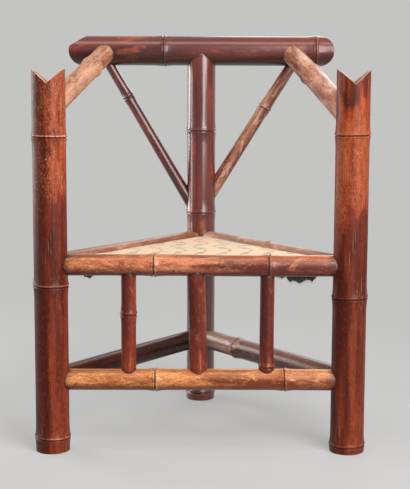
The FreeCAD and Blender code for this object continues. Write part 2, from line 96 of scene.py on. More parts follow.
Triple = tuple[float, float, float]
Row = list[tuple[float, float]]
Tear = tuple[tuple[float, float], ...]
Socket = bpy.types.NodeSocket
Node = bpy.types.Node
Material = bpy.types.Material
Piece = bpy.types.Object


class EndCut(Enum):
    """How the end of a cane is finished."""

    COPED = "coped to fit round its host"
    NOTCHED = "cut into a swallow tail"
    SAWN = "sawn square"


class FaceKind(Enum):
    """What a face of a cane shows."""

    SKIN = 0
    RIM = 1
    BORE = 2


class Value:
    """A number or vector inside a node tree; numbers can be reckoned with like plain ones."""

    def __init__(self, bench: "Bench", socket: Socket) -> None:
        """Keep the socket and the bench of its tree."""
        self.bench = bench
        self.socket = socket

    def __add__(self, other: "Feed") -> "Value":
        """This number plus another."""
        return self.bench.math("ADD", self, other)

    def __sub__(self, other: "Feed") -> "Value":
        """This number less another."""
        return self.bench.math("SUBTRACT", self, other)

    def __rsub__(self, other: float) -> "Value":
        """A plain number less this one."""
        return self.bench.math("SUBTRACT", other, self)

    def __mul__(self, other: "Feed") -> "Value":
        """This number times another."""
        return self.bench.math("MULTIPLY", self, other)

    def __truediv__(self, other: "Feed") -> "Value":
        """This number by another."""
        return self.bench.math("DIVIDE", self, other)

    def __neg__(self) -> "Value":
        """This number with its sign changed."""
        return self * -1.0

    def __abs__(self) -> "Value":
        """The size of this number."""
        return self.bench.math("ABSOLUTE", self)


Feed = Value | float | int | bool | str | tuple | Material


class Bench:
    """Builds one node tree, and gives back the values that its nodes put out."""

    def __init__(self, tree: bpy.types.NodeTree) -> None:
        """Take up a shader or geometry tree."""
        self.tree = tree

    def feed(self, socket: Socket, value: Feed) -> None:
        """Link an input to a value of the tree, or set it to a plain one.

        Args:
            socket: The input.
            value: What it gets; a colour may come without its alpha.
        """
        if isinstance(value, Value):
            self.tree.links.new(value.socket, socket)
        elif socket.type == "RGBA" and len(value) == 3:
            socket.default_value = (*value, 1.0)
        else:
            socket.default_value = value

    def fill(self, node: Node, feeds: dict[str | int, Feed]) -> None:
        """Feed the inputs of a node, by name or index."""
        for name, value in feeds.items():
            self.feed(node.inputs[name], value)

    def add(self, kind: str, feeds: dict[str | int, Feed] | None = None, **settings: object) -> Node:
        """Add one node.

        Args:
            kind: The node's type.
            feeds: Values for its inputs, by name or index.
            **settings: Properties of the node.

        Returns:
            The new node.
        """
        node = self.tree.nodes.new(kind)
        for name, value in settings.items():
            setattr(node, name, value)
        self.fill(node, feeds or {})
        return node

    def take(self, kind: str, feeds: dict[str | int, Feed] | None = None, output: str | int = 0,
             **settings: object) -> Value:
        """Add one node, as add does, and give back one of its outputs."""
        return Value(self, self.add(kind, feeds, **settings).outputs[output])

    def group(self, tree: bpy.types.NodeTree, feeds: dict[str | int, Feed]) -> dict[str, Value]:
        """Use a node group.

        Args:
            tree: The group.
            feeds: Values for its inputs, by name.

        Returns:
            Its outputs by name.
        """
        kind = "GeometryNodeGroup" if tree.bl_idname == "GeometryNodeTree" else "ShaderNodeGroup"
        node = self.add(kind, node_tree=tree)
        self.fill(node, feeds)
        return {socket.name: Value(self, socket) for socket in node.outputs}

    def math(self, operation: str, *values: Feed) -> Value:
        """One step of arithmetic on numbers, by the operation's name."""
        return self.take("ShaderNodeMath", dict(enumerate(values)), operation=operation)

    def total(self, values: list[Value]) -> Value:
        """The sum of several numbers."""
        return sum(values[1:], values[0])

    def vector(self, operation: str, first: Feed, second: Feed) -> Value:
        """One step of arithmetic on vectors.

        Args:
            operation: The operation's name.
            first: A vector.
            second: Another vector, or the factor for SCALE.

        Returns:
            The resulting vector, or the number for DOT_PRODUCT and LENGTH.
        """
        place = "Scale" if operation == "SCALE" else 1
        output = "Value" if operation in ("DOT_PRODUCT", "LENGTH") else "Vector"
        return self.take("ShaderNodeVectorMath", {0: first, place: second}, output, operation=operation)

    def combine(self, x: Feed, y: Feed, z: Feed) -> Value:
        """A vector from its three parts."""
        return self.take("ShaderNodeCombineXYZ", {"X": x, "Y": y, "Z": z})

    def parts(self, place: Feed) -> list[Value]:
        """The three parts of a vector."""
        return [Value(self, part) for part in self.add("ShaderNodeSeparateXYZ", {"Vector": place}).outputs]

    def mix(self, factor: Feed, first: Feed, second: Feed, blend: str = "MIX") -> Value:
        """Mix two colours, with the factor as the share of the second one."""
        return self.take("ShaderNodeMix", {0: factor, 6: first, 7: second}, 2, data_type="RGBA", blend_type=blend)

    def coats(self, colour: Feed, *coats: tuple[Feed, Feed]) -> Value:
        """Lay colours over one another.

        Args:
            colour: The ground.
            *coats: The mask and the colour of each coat, in order.

        Returns:
            What shows of them all.
        """
        for mask, paint in coats:
            colour = self.mix(mask, colour, paint)
        return colour

    def fade(self, value: Feed, low: Feed, high: Feed, start: Feed = 0.0, end: Feed = 1.0) -> Value:
        """A smooth step.

        Args:
            value: The number that drives the step.
            low: Where the step begins.
            high: Where it ends, above low.
            start: The result below low.
            end: The result above high.

        Returns:
            The eased result.
        """
        return self.take("ShaderNodeMapRange", {
            "Value": value, "From Min": low, "From Max": high, "To Min": start, "To Max": end,
        }, interpolation_type="SMOOTHSTEP")

    def noise(self, place: Feed, scale: Feed, detail: float = 3.0, rough: float = 0.5, twist: float = 0.0,
              output: int = 0) -> Value:
        """A noise texture.

        Args:
            place: The vector that it reads.
            scale: Its scale, per metre.
            detail: Its detail.
            rough: Its roughness.
            twist: Its distortion.
            output: 0 for its number, 1 for its colour.

        Returns:
            The noise.
        """
        return self.take("ShaderNodeTexNoise", {
            "Vector": place, "Scale": scale, "Detail": detail, "Roughness": rough, "Distortion": twist,
        }, output)

    def drawn(self, place: Feed, along: float, *noise: Feed) -> Value:
        """A noise that is drawn out along the cane; the lower along is, the longer."""
        return self.noise(self.vector("MULTIPLY", place, (1.0, 1.0, along)), *noise)

    def object_place(self) -> Value:
        """The piece's own coordinates."""
        return self.take("ShaderNodeTexCoord", output="Object")

    def bump(self, height: Feed, strength: float, depth: float) -> Value:
        """The normal of a surface whose height, about 0 to 1, stands out by a depth in metres."""
        return self.take("ShaderNodeBump", {"Height": height, "Strength": strength, "Distance": depth},
                         output="Normal")


def new_group(name: str, kind: str, inputs: dict[str, object],
              outputs: dict[str, str]) -> tuple[Bench, dict[str, Value], Node]:
    """Start a node group.

    Args:
        name: The group's name.
        kind: ShaderNodeTree or GeometryNodeTree.
        inputs: Default value of each input by name: a number, a vector of three or a colour of four
            parts, or else the type of an input that has none.
        outputs: Type of each output by name.

    Returns:
        The group's bench, its inputs by name, and its output node.
    """
    tree = bpy.data.node_groups.new(name, kind)
    for label, default in inputs.items():
        if isinstance(default, str):
            tree.interface.new_socket(label, in_out="INPUT", socket_type=default)
            continue
        sort = FLOAT if isinstance(default, float) else COLOUR if len(default) == 4 else "NodeSocketVector"
        tree.interface.new_socket(label, in_out="INPUT", socket_type=sort).default_value = default
    for label, sort in outputs.items():
        tree.interface.new_socket(label, in_out="OUTPUT", socket_type=sort)
    bench = Bench(tree)
    source = bench.add("NodeGroupInput")
    return bench, {label: Value(bench, source.outputs[label]) for label in inputs}, bench.add("NodeGroupOutput")


def new_material(name: str) -> tuple[Material, Bench, Node]:
    """Start a material.

    Args:
        name: Its name.

    Returns:
        The material, its bench and its Principled shader.
    """
    made = bpy.data.materials.new(name)
    made.use_nodes = True
    return made, Bench(made.node_tree), made.node_tree.nodes["Principled BSDF"]


class ShaderGroups:
    """The effects that several materials share."""

    def __init__(self) -> None:
        """Build each group once."""
        self.stain = self.make_stain()
        self.fibre = self.make_fibre()
        self.scuffs = self.make_scuffs()
        self.weave = self.make_weave()
        self.sawn = self.make_sawn_wood()

    @staticmethod
    def make_stain() -> bpy.types.NodeTree:
        """The shellac stain of a bamboo skin.

        Returns:
            The group: mottled flames over a darker ground, streaks along the fibres, dark flecks,
            a shaded side, painted shade on the underside and painted light on the upper side, and the pale
            ridge and dark scar of each node.
        """
        board, given, result = new_group("bamboo stain", "ShaderNodeTree", {
            "Grain": ZERO, "Ring": 0.0, "Edge": 1.0, "Dark": (0.1, 0.03, 0.02, 1.0),
            "Ground": (0.25, 0.07, 0.04, 1.0), "Flame": (0.6, 0.2, 0.08, 1.0), "Worn": (0.8, 0.5, 0.35, 1.0),
            "Flame Amount": 0.4, "Flame Scale": 45.0, "Streaks": 0.5, "Flecks": 0.4, "Shade Direction": ZERO,
            "Shade Edge": 0.2, "Shade Strength": 0.85, "Ridge Wear": 0.4, "Band Low": 0.0, "Band High": 0.0,
            "Band Boost": 0.0, "Band Softness": 0.03, "Under Direction": ZERO, "Grime Reach": 0.008,
            "Mottle": 0.4,
        }, {"Color": COLOUR, "Relief": FLOAT})
        fade, grain, ring = board.fade, given["Grain"], given["Ring"]
        dark, flame, worn = given["Dark"], given["Flame"], given["Worn"]
        flames = board.drawn(grain, 0.3, given["Flame Scale"], 6.0, 0.66, 0.9)
        broad = board.drawn(grain, 0.16, 24.0, 2.0, 0.5, 0.4)
        fibres = board.drawn(grain, 0.035, 420.0, 4.0, 0.6)
        streaks = board.drawn(grain, 0.05, 120.0, 3.0, 0.55, 0.3)
        specks = board.drawn(grain, 0.45, 330.0, 3.0, 0.6, 0.6)
        patches = board.drawn(grain, 0.35, 60.0, 2.0)
        cloudy = board.drawn(grain, 0.5, 210.0, 5.0, 0.75)
        grit = board.drawn(grain, 0.5, 480.0, 3.0, 0.7)

        along = board.parts(grain)[2] + (streaks - 0.5) * 0.06 + (patches - 0.5) * 0.16
        low, high, soft = given["Band Low"], given["Band High"], given["Band Softness"]
        band = fade(along, low - soft, low + soft) - fade(along, high - soft, high + soft)
        edge = 0.76 - (given["Flame Amount"] + band * given["Band Boost"]) * 0.5
        flame_field = flames + (broad - 0.5) * 0.45
        flame_mask = fade(flame_field, edge - 0.09, edge + 0.11)
        side = board.vector("DOT_PRODUCT", grain, given["Shade Direction"]) + (streaks - 0.5) * 0.7
        shade = fade(side, given["Shade Edge"], given["Shade Edge"] + 0.35)
        colour = board.coats(
            board.mix(fade(broad, 0.36, 0.62), dark, given["Ground"]),
            (flame_mask * 0.92, flame),
            (fade(flame_field, edge + 0.1, edge + 0.3) * 0.3, worn),
            (shade * given["Shade Strength"], dark),
            (fade(streaks, 0.48, 0.68) * given["Streaks"] * 0.7, dark))
        line = fade(fibres, 0.46, 0.68) * given["Streaks"] * 0.5
        colour = board.mix(line, colour, (0.22, 0.14, 0.12), "MULTIPLY")

        # Painted shade and light across the cane: its underside darkens towards the dark stain, its upper side
        # lightens towards the flame colour
        below = board.vector("DOT_PRODUCT", grain, given["Under Direction"]) + (flames - 0.5) * 0.35
        peppered = fade(grit, 0.52, 0.64) * fade(patches, 0.4, 0.62, 0.35, 1.0) * given["Flecks"]
        chipped = fade(grit, 0.34, 0.44, 1.0, 0.0) * flame_mask * given["Flecks"]
        fleck = fade(specks, 0.58, 0.66) * fade(patches, 0.44, 0.58) * given["Flecks"]
        uneven = given["Edge"] + (cloudy - 0.5) * 0.012
        ridge = fade(ring, 0.5, 0.98) * fade(specks, 0.34, 0.52) * fade(flame_mask, 0.0, 0.6, 0.35, 1.0)
        colour = board.coats(
            colour,
            (fade(cloudy, 0.54, 0.66) * given["Mottle"] * 0.75, flame),
            (fade(cloudy, 0.36, 0.46, 1.0, 0.0) * given["Mottle"] * 0.85, dark),
            # Painted shade on the underside, then painted light on the upper side
            (fade(below, 0.05, 0.62, 0.0, 0.85), dark),
            (fade(below, -0.75, -0.1, 0.3, 0.0), flame),
            (peppered * 0.7, dark),
            (chipped * 0.55, worn),
            (fleck, (0.035, 0.012, 0.009)),
            (fade(uneven, 0.0, given["Grime Reach"], 0.82, 0.0), (0.035, 0.015, 0.011)),
            (ridge * given["Ridge Wear"], worn),
            (fade(-ring, 0.0, 0.45) * 0.88, (0.022, 0.01, 0.008)))
        board.fill(result, {"Color": colour, "Relief": fibres * 0.35 + flames * 0.4 + fleck * -0.5})
        return board.tree

    @staticmethod
    def make_fibre() -> bpy.types.NodeTree:
        """Raw bamboo where a cane is cut: a pale ground with the dark dots and lines of its fibres, and painted
        shade deep in the bore.

        Returns:
            The group, whose Depth input is 1 at the skin, 0 at the bore and below 0 on the web.
        """
        board, given, result = new_group("raw bamboo", "ShaderNodeTree", {"Grain": ZERO, "Depth": 1.0},
                                         {"Color": COLOUR, "Relief": FLOAT})
        dots = board.drawn(given["Grain"], 0.12, 900.0, 2.0)
        dust = board.noise(given["Grain"], 70.0, 5.0, 0.65)
        colour = board.coats(
            board.mix(board.fade(dust, 0.35, 0.7), (0.78, 0.53, 0.40), (0.52, 0.30, 0.20)),
            (board.fade(dots, 0.5, 0.66) * 0.5, (0.22, 0.10, 0.06)),
            # Painted shade: the web deep in the bore darkens
            (board.fade(given["Depth"], -0.2, 0.3, 0.6, 0.0), (0.13, 0.065, 0.045)))
        board.fill(result, {"Color": colour, "Relief": dots * 0.6 + dust})
        return board.tree

    @staticmethod
    def make_scuffs() -> bpy.types.NodeTree:
        """Rubbed patches and fine scratches, in which a paler or duller surface shows.

        Returns:
            The group, whose outputs are a mask of rubbed patches and one of scratches.
        """
        board, given, result = new_group("scuffs and scratches", "ShaderNodeTree", {"Grain": ZERO, "Amount": 0.3},
                                         {"Rubbed": FLOAT, "Scratch": FLOAT})
        grain, amount = given["Grain"], given["Amount"]
        edge = 0.78 - amount * 0.28
        crack = board.fade(board.drawn(grain, 0.02, 520.0, 2.0, 0.5, 0.15), 0.64, 0.7)
        where = board.fade(board.drawn(grain, 0.3, 50.0, 3.0), 0.5, 0.6)
        board.fill(result, {
            "Rubbed": board.fade(board.drawn(grain, 0.4, 85.0, 7.0, 0.7, 0.5), edge, edge + 0.1),
            "Scratch": crack * where * amount})
        return board.tree

    @staticmethod
    def make_weave() -> bpy.types.NodeTree:
        """A plain weave across the level.

        Returns:
            The group, whose Threads output is the height of the threads and whose Slub output
            is the uneven thickness of single threads.
        """
        board, given, result = new_group("plain weave", "ShaderNodeTree", {"Place": ZERO, "Pitch": 0.0012},
                                         {"Threads": FLOAT, "Slub": FLOAT})
        place = given["Place"]
        rate = board.math("DIVIDE", math.pi, given["Pitch"])
        bend = (board.noise(place, 45.0, 2.0) - 0.5) * 3.0
        warp, weft = (abs(board.math("SINE", part * rate + bend)) for part in board.parts(place)[:2])
        along, across = (board.noise(board.vector("MULTIPLY", place, drawn), 1.0, 2.0)
                         for drawn in ((900.0, 40.0, 40.0), (40.0, 900.0, 40.0)))
        board.fill(result, {"Threads": warp * weft, "Slub": (along + across) * 0.5})
        return board.tree

    @staticmethod
    def make_sawn_wood() -> bpy.types.NodeTree:
        """Sawn or turned softwood.

        Returns:
            The group, whose Stretch input draws the grain out along an axis of the piece.
        """
        board, given, result = new_group("aged softwood", "ShaderNodeTree", {
            "Place": ZERO, "Stretch": (0.06, 1.0, 1.0), "Pale": (0.5, 0.33, 0.19, 1.0),
            "Brown": (0.26, 0.15, 0.08, 1.0),
        }, {"Color": COLOUR, "Relief": FLOAT})
        drawn = board.vector("MULTIPLY", given["Place"], given["Stretch"])
        rings = board.noise(drawn, 160.0, 3.0, 0.5, 1.2)
        pores = board.noise(drawn, 900.0, 3.0, 0.6)
        grime = board.noise(given["Place"], 14.0, 5.0, 0.65)
        colour = board.coats(
            given["Pale"],
            (board.fade(rings, 0.4, 0.62), given["Brown"]),
            (board.fade(pores, 0.55, 0.7) * 0.4, given["Brown"]),
            (board.fade(grime, 0.5, 0.8, 0.0, 0.5), (0.09, 0.06, 0.045)))
        board.fill(result, {"Color": colour, "Relief": pores * 0.5 + rings})
        return board.tree


def linear(code: str) -> Triple:
    """Read a screen colour.

    Args:
        code: Its six digits.

    Returns:
        The colour in linear light.
    """
    parts = [int(code[index:index + 2], 16) / 255.0 for index in (0, 2, 4)]
    red, green, blue = (part / 12.92 if part <= 0.04045 else ((part + 0.055) / 1.055) ** 2.4 for part in parts)
    return red, green, blue


@dataclass(frozen=True)
class BambooFinish:
    """The stain and wear of one cane; its shades are screen colours from the darkest stain to bare wear."""

    name: str
    slot: str
    shades: tuple[str, str, str, str]
    flame_amount: float = 0.4
    flame_scale: float = 45.0
    streaks: float = 0.5
    flecks: float = 0.4
    wear: float = 0.3
    shade: Triple = ZERO
    shade_edge: float = 0.2
    shade_strength: float = 0.85
    band: tuple[float, float, float, float] = (0.0, 0.0, 0.0, 0.03)
    # Direction of the underside across the cane: painted shade below, painted light on the upper side
    under: tuple[float, float] = (0.0, 0.0)
    ridge_wear: float = 0.35
    grime_reach: float = 0.007
    mottle: float = 0.45
    roughness: float = 0.3
    coat: float = 0.35
    coat_roughness: float = 0.2
    specular: float = 0.3
    scratch: Triple = (0.7, 0.42, 0.28)

    def material(self, groups: ShaderGroups) -> Material:
        """Build the material of the skin.

        Args:
            groups: The shared effects.

        Returns:
            The material, which reads the cane's own grain, ring and edge attributes.
        """
        made, board, shader = new_material(self.name)
        grain = board.take("ShaderNodeAttribute", output="Vector", attribute_name="grain")
        ring, edge = (board.take("ShaderNodeAttribute", output="Fac", attribute_name=name)
                      for name in ("ring", "edge"))
        dark, ground, flame, worn = (linear(code) for code in self.shades)
        sides = ((self.shade[0] * 30.0, self.shade[1] * 30.0, self.shade[2]),
                 (self.under[0] * 40.0, self.under[1] * 40.0, 0.0))
        stain = board.group(groups.stain, {
            "Grain": grain, "Ring": ring, "Edge": edge, "Dark": dark, "Ground": ground, "Flame": flame,
            "Worn": worn, "Flame Amount": self.flame_amount, "Flame Scale": self.flame_scale,
            "Streaks": self.streaks, "Flecks": self.flecks, "Shade Direction": sides[0],
            "Shade Edge": self.shade_edge, "Shade Strength": self.shade_strength, "Under Direction": sides[1],
            "Band Low": self.band[0], "Band High": self.band[1], "Band Boost": self.band[2],
            "Band Softness": self.band[3], "Ridge Wear": self.ridge_wear, "Grime Reach": self.grime_reach,
            "Mottle": self.mottle})
        scuffs = board.group(groups.scuffs, {"Grain": grain, "Amount": self.wear})
        rubbed, scratch, relief = scuffs["Rubbed"], scuffs["Scratch"], stain["Relief"]
        board.fill(shader, {
            "Base Color": board.coats(stain["Color"], (rubbed * 0.45, worn), (scratch * 0.8, self.scratch)),
            "Roughness": rubbed * 0.22 + self.roughness + relief * 0.12,
            "Coat Roughness": self.coat_roughness, "Specular IOR Level": self.specular,
            "Coat Weight": (1.0 - rubbed) * self.coat,
            "Normal": board.bump(relief + scratch * -0.6 + rubbed * -0.2, 0.22, 0.0009)})
        return made


@dataclass(frozen=True)
class RawBambooFinish:
    """The cut ends and bores of the canes."""

    name: str = "raw_bamboo"

    def material(self, groups: ShaderGroups) -> Material:
        """Build the material of rims, bores and webs.

        Args:
            groups: The shared effects.

        Returns:
            The material, which reads the cane's grain and spread attributes.
        """
        made, board, shader = new_material(self.name)
        raw = board.group(groups.fibre, {
            "Grain": board.take("ShaderNodeAttribute", output="Vector", attribute_name="grain"),
            "Depth": board.take("ShaderNodeAttribute", output="Fac", attribute_name="spread")})
        board.fill(shader, {"Base Color": raw["Color"], "Roughness": 0.75,
                            "Normal": board.bump(raw["Relief"], 0.4, 0.0008)})
        return made


@dataclass(frozen=True)
class SoftwoodFinish:
    """Sawn or turned softwood of a hidden piece."""

    name: str
    pale: Triple
    brown: Triple
    stretch: Triple
    roughness: float = 0.7

    def material(self, groups: ShaderGroups) -> Material:
        """Build the wood's material.

        Args:
            groups: The shared effects.

        Returns:
            The material, which reads the piece's own coordinates.
        """
        made, board, shader = new_material(self.name)
        wood = board.group(groups.sawn, {"Place": board.object_place(), "Stretch": self.stretch,
                                         "Pale": self.pale, "Brown": self.brown})
        board.fill(shader, {"Base Color": wood["Color"], "Roughness": self.roughness,
                            "Normal": board.bump(wood["Relief"], 0.35, 0.0007)})
        return made


@dataclass(frozen=True)
class IronFinish:
    """Nails and tacks that have gone dull and brown."""

    name: str = "old_iron"

    def material(self) -> Material:
        """Build the material of the fasteners.

        Returns:
            The material, which reads the piece's own coordinates.
        """
        made, board, shader = new_material(self.name)
        rust = board.noise(board.object_place(), 900.0, 4.0, 0.6)
        mask = board.fade(rust, 0.42, 0.62)
        board.fill(shader, {
            "Base Color": board.mix(mask, (0.12, 0.105, 0.095), (0.16, 0.06, 0.03)),
            "Metallic": 0.95 - mask * 0.7, "Roughness": mask * 0.35 + 0.42,
            "Normal": board.bump(rust, 0.3, 0.0003)})
        return made


@dataclass(frozen=True)
class SeatCloth:
    """Cream furnishing cloth with a faint woven figure of bowed stems and small sprigs."""

    name: str = "seat_cloth"
    ground: Triple = (0.98, 0.71, 0.465)
    figure: Triple = (0.55, 0.13, 0.08)
    sprig: Triple = (0.22, 0.27, 0.15)
    thread_pitch: float = 0.0011
    column_rate: float = 66.0
    row_rate: float = 62.0

    def material(self, groups: ShaderGroups) -> Material:
        """Build the cloth: weave, figure, fading and a little grime.

        Args:
            groups: The shared effects.

        Returns:
            The material, which reads the pad's own coordinates, level with the seat.
        """
        made, board, shader = new_material(self.name)
        place, fade = board.object_place(), board.fade
        across, back, _ = board.parts(place)
        weave = board.group(groups.weave, {"Place": place, "Pitch": self.thread_pitch})
        threads, slub = weave["Threads"], weave["Slub"]
        waver = (board.noise(place, 18.0, 2.0) - 0.5) * 0.02
        bow = board.math("SINE", back * self.row_rate) * 0.014
        stem = fade(abs(board.math("SINE", (across + bow + waver) * self.column_rate)), 0.08, 0.28, 1.0, 0.0)
        spot = (abs(board.math("COSINE", across * self.column_rate))
                * abs(board.math("COSINE", back * self.row_rate)))
        petals = fade(spot + (board.noise(place, 240.0, 2.0, 0.5, 0.8) - 0.5) * 0.9, 0.8, 0.98)
        faded = fade(board.noise(place, 11.0, 4.0, 0.6), 0.32, 0.68, 0.45, 1.0)
        soil = fade(board.noise(place, 26.0, 5.0, 0.65), 0.56, 0.8, 0.0, 0.3)
        colour = board.coats(
            self.ground,
            (stem * faded * 0.8, self.figure),
            (petals * faded * 0.85, self.sprig),
            (fade(slub, 0.45, 0.68) * 0.22, (0.96, 0.82, 0.63)),
            (fade(threads, 0.0, 0.3, 0.16, 0.0), (0.35, 0.23, 0.14)),
            (soil, (0.5, 0.36, 0.24)))
        board.fill(shader, {
            "Base Color": colour, "Roughness": stem * -0.14 + 0.72, "Sheen Weight": 0.12, "Sheen Roughness": 0.4,
            "Normal": board.bump(threads + slub * 0.8 + stem * 0.5 + petals * 0.6, 0.5, 0.0006)})
        return made


@dataclass(frozen=True)
class DustCloth:
    """Thin dark cotton, faded and dusty."""

    name: str = "dust_cloth"
    thread_pitch: float = 0.0009

    def material(self, groups: ShaderGroups) -> Material:
        """Build the dust cover's material.

        Args:
            groups: The shared effects.

        Returns:
            The material, which reads the piece's own coordinates.
        """
        made, board, shader = new_material(self.name)
        place = board.object_place()
        threads = board.group(groups.weave, {"Place": place, "Pitch": self.thread_pitch})["Threads"]
        dust = board.fade(board.noise(place, 16.0, 6.0, 0.7), 0.4, 0.75, 0.0, 0.6)
        board.fill(shader, {
            "Base Color": board.coats((0.035, 0.024, 0.02), (dust, (0.16, 0.115, 0.085)),
                                      (threads * 0.35, (0.11, 0.08, 0.065))),
            "Roughness": 0.9, "Sheen Weight": 0.2, "Normal": board.bump(threads, 0.5, 0.0004)})
        return made


UMBER = BambooFinish(
    "left_rail_bamboo", "side_bamboo", ("5E2A18", "9C5636", "CC8E68", "F4D0B6"), flame_amount=0.42,
    flame_scale=52.0, flecks=0.5, wear=0.45, grime_reach=0.01, mottle=0.55, under=(-0.8, 0.0), roughness=0.34,
    specular=0.35)
SPINDLE = BambooFinish(
    "left_spindle_bamboo", "spindle_bamboo", ("641C0C", "963A1E", "BC5E34", "D08862"), flame_amount=0.34,
    flame_scale=60.0, streaks=0.6, wear=0.25, ridge_wear=0.25, grime_reach=0.009, mottle=0.5, roughness=0.36,
    coat=0.15, specular=0.25)

# Finish of each cane
STAINS = {
    "front_left_post": BambooFinish(
        "left_post_bamboo", "post_bamboo", ("4C160A", "8F3922", "B04C24", "E8A880"), flame_amount=0.14,
        flame_scale=70.0, streaks=0.9, flecks=0.9, wear=0.35, shade=(-1.0, -0.35, 0.0), shade_edge=0.3,
        shade_strength=0.75, band=(0.54, 0.90, 0.62, 0.05), ridge_wear=0.8, mottle=0.55, roughness=0.42,
        coat=0.05, specular=0.18),
    "front_right_post": BambooFinish(
        "right_post_bamboo", "post_bamboo", ("4A1409", "85381E", "A6421C", "C67C52"), flame_amount=0.2,
        flame_scale=60.0, streaks=0.7, flecks=0.9, wear=0.4, band=(0.51, 0.74, 0.8, 0.06), mottle=0.55,
        roughness=0.42, coat=0.05, specular=0.18),
    "rear_post": BambooFinish(
        "rear_post_bamboo", "dark_bamboo", ("52140C", "7C2817", "B04E2E", "E0A080"), flame_amount=0.2,
        flame_scale=34.0, streaks=0.4, wear=0.1, band=(0.385, 0.455, 0.3, 0.02), ridge_wear=0.2, mottle=0.3,
        roughness=0.26, coat=1.0, coat_roughness=0.17, specular=0.45),
    "crest_rail": BambooFinish(
        "crest_bamboo", "dark_bamboo", ("380A06", "641A10", "A4482A", "E8A682"), flame_amount=0.18,
        flame_scale=34.0, streaks=0.45, flecks=0.6, wear=0.16, band=(0.12, 0.165, 0.4, 0.02),
        under=(0.0, -0.85), ridge_wear=0.2, mottle=0.35, coat=0.6, coat_roughness=0.18, specular=0.4),
    "left_arm": BambooFinish(
        "left_arm_bamboo", "bleached_bamboo", ("945230", "C07E58", "DAA27E", "F0CAAC"), flame_amount=0.62,
        flame_scale=60.0, flecks=0.3, wear=0.35, ridge_wear=0.3, mottle=0.6, roughness=0.48, coat=0.08,
        scratch=(0.32, 0.15, 0.07)),
    "right_arm": BambooFinish(
        "right_arm_bamboo", "russet_bamboo", ("924830", "CE825E", "EBB292", "F8D8BE"), flame_amount=0.5,
        flame_scale=55.0, streaks=0.45, wear=0.5, ridge_wear=0.5, mottle=0.6, roughness=0.34, coat=0.3),
    "left_brace": BambooFinish(
        "left_brace_bamboo", "dark_bamboo", ("44120B", "742818", "B05A40", "F0C0A4"), flame_amount=0.3,
        flame_scale=60.0, ridge_wear=0.2, mottle=0.4, roughness=0.26, coat=0.6, specular=0.5),
    "right_brace": BambooFinish(
        "right_brace_bamboo", "russet_bamboo", ("7C3A26", "CE8E6C", "ECC0A2", "F8DCC4"), flame_amount=0.45,
        flame_scale=60.0, streaks=0.8, wear=0.4, ridge_wear=0.3, mottle=0.5, roughness=0.28, coat=0.5),
    "front_seat_rail": BambooFinish(
        "seat_rail_bamboo", "honey_bamboo", ("5C1E10", "A44C28", "D88252", "FAD4B4"), flame_amount=0.42,
        flame_scale=50.0, streaks=0.45, flecks=0.75, shade_strength=0.0, band=(0.1, 0.34, 0.2, 0.06),
        under=(-1.0, 0.0), ridge_wear=0.2, grime_reach=0.02, mottle=0.6, coat=0.4),
    "front_stretcher": BambooFinish(
        "front_stretcher_bamboo", "honey_bamboo", ("78300F", "CC7238", "EC9A58", "FFD6A2"), flame_amount=0.5,
        flame_scale=60.0, streaks=0.4, flecks=0.8, wear=0.5, shade=(0.0, 0.0, 1.5), shade_edge=0.62,
        shade_strength=0.35, under=(-1.0, 0.0), ridge_wear=0.3, grime_reach=0.014, mottle=0.7, roughness=0.36,
        coat=0.3),
    "left_seat_rail": UMBER,
    # A paler copy of the side rails' stain: partly its own colour, partly a painted highlight of its upper side
    "right_seat_rail": replace(UMBER, name="right_rail_bamboo", shades=("6C3826", "B67A5E", "DEB294", "F8DCC8")),
    "left_stretcher": replace(
        UMBER, name="left_stretcher_bamboo", shades=("200606", "4A1009", "86401F", "F4D0B6"), flame_amount=0.1,
        ridge_wear=0.2, coat=0.1, specular=0.2),
    # Its pale pinkish flame colour is partly its stain; boosted by the band near the rear post it is a painted
    # sheen
    "right_stretcher": replace(
        UMBER, name="right_stretcher_bamboo", shades=("502014", "884630", "D0A08A", "F4D0B6"), flame_amount=0.2,
        band=(0.37, 0.6, 0.7, 0.015), roughness=0.3, coat=0.3),
    "left_spindle": SPINDLE,
    "centre_spindle": replace(
        SPINDLE, name="centre_spindle_bamboo", shades=("56190C", "86331C", "AC5630", "D08862")),
    "right_spindle": replace(
        SPINDLE, name="right_spindle_bamboo", shades=("50170C", "7C2C1A", "A04A2C", "D08862")),
}


def new_piece(name: str, places: list, faces: list) -> Piece:
    """Make an object with a mesh, at the origin.

    Args:
        name: Name of the piece.
        places: Its vertices.
        faces: Its faces, as lists of vertex numbers.

    Returns:
        The object, linked into the scene.
    """
    mesh = bpy.data.meshes.new(name)
    mesh.from_pydata([tuple(place) for place in places], [], faces)
    piece = bpy.data.objects.new(name, mesh)
    bpy.context.scene.collection.objects.link(piece)
    return piece


def settle(piece: Piece) -> Piece:
    """Turn a piece's live modifiers into its plain mesh.

    Args:
        piece: The object with its modifiers.

    Returns:
        The same object, with no modifier left.
    """
    graph = bpy.context.evaluated_depsgraph_get()
    plain = bpy.data.meshes.new_from_object(piece.evaluated_get(graph), preserve_all_data_layers=True,
                                            depsgraph=graph)
    spent = piece.data
    piece.modifiers.clear()
    piece.data = plain
    plain.name = piece.name
    bpy.data.meshes.remove(spent)
    return piece


def grow(piece: Piece, tree: bpy.types.NodeTree, values: dict[str, object]) -> Piece:
    """Run a Geometry Nodes tree on a piece.

    Args:
        piece: The object with its starting mesh.
        tree: The tree.
        values: Values for the tree's inputs by name, which are set by the sockets' identifiers.

    Returns:
        The same object, with the tree's result as its plain mesh.
    """
    modifier = piece.modifiers.new("grown", "NODES")
    modifier.node_group = tree
    for item in tree.interface.items_tree:
        if item.item_type == "SOCKET" and item.in_out == "INPUT" and item.name in values:
            modifier[item.identifier] = values[item.name]
    return settle(piece)


def clothe(piece: Piece, material: Material) -> None:
    """Give a piece one material and smooth shading."""
    piece.data.materials.append(material)
    piece.data.polygons.foreach_set("use_smooth", [True] * len(piece.data.polygons))


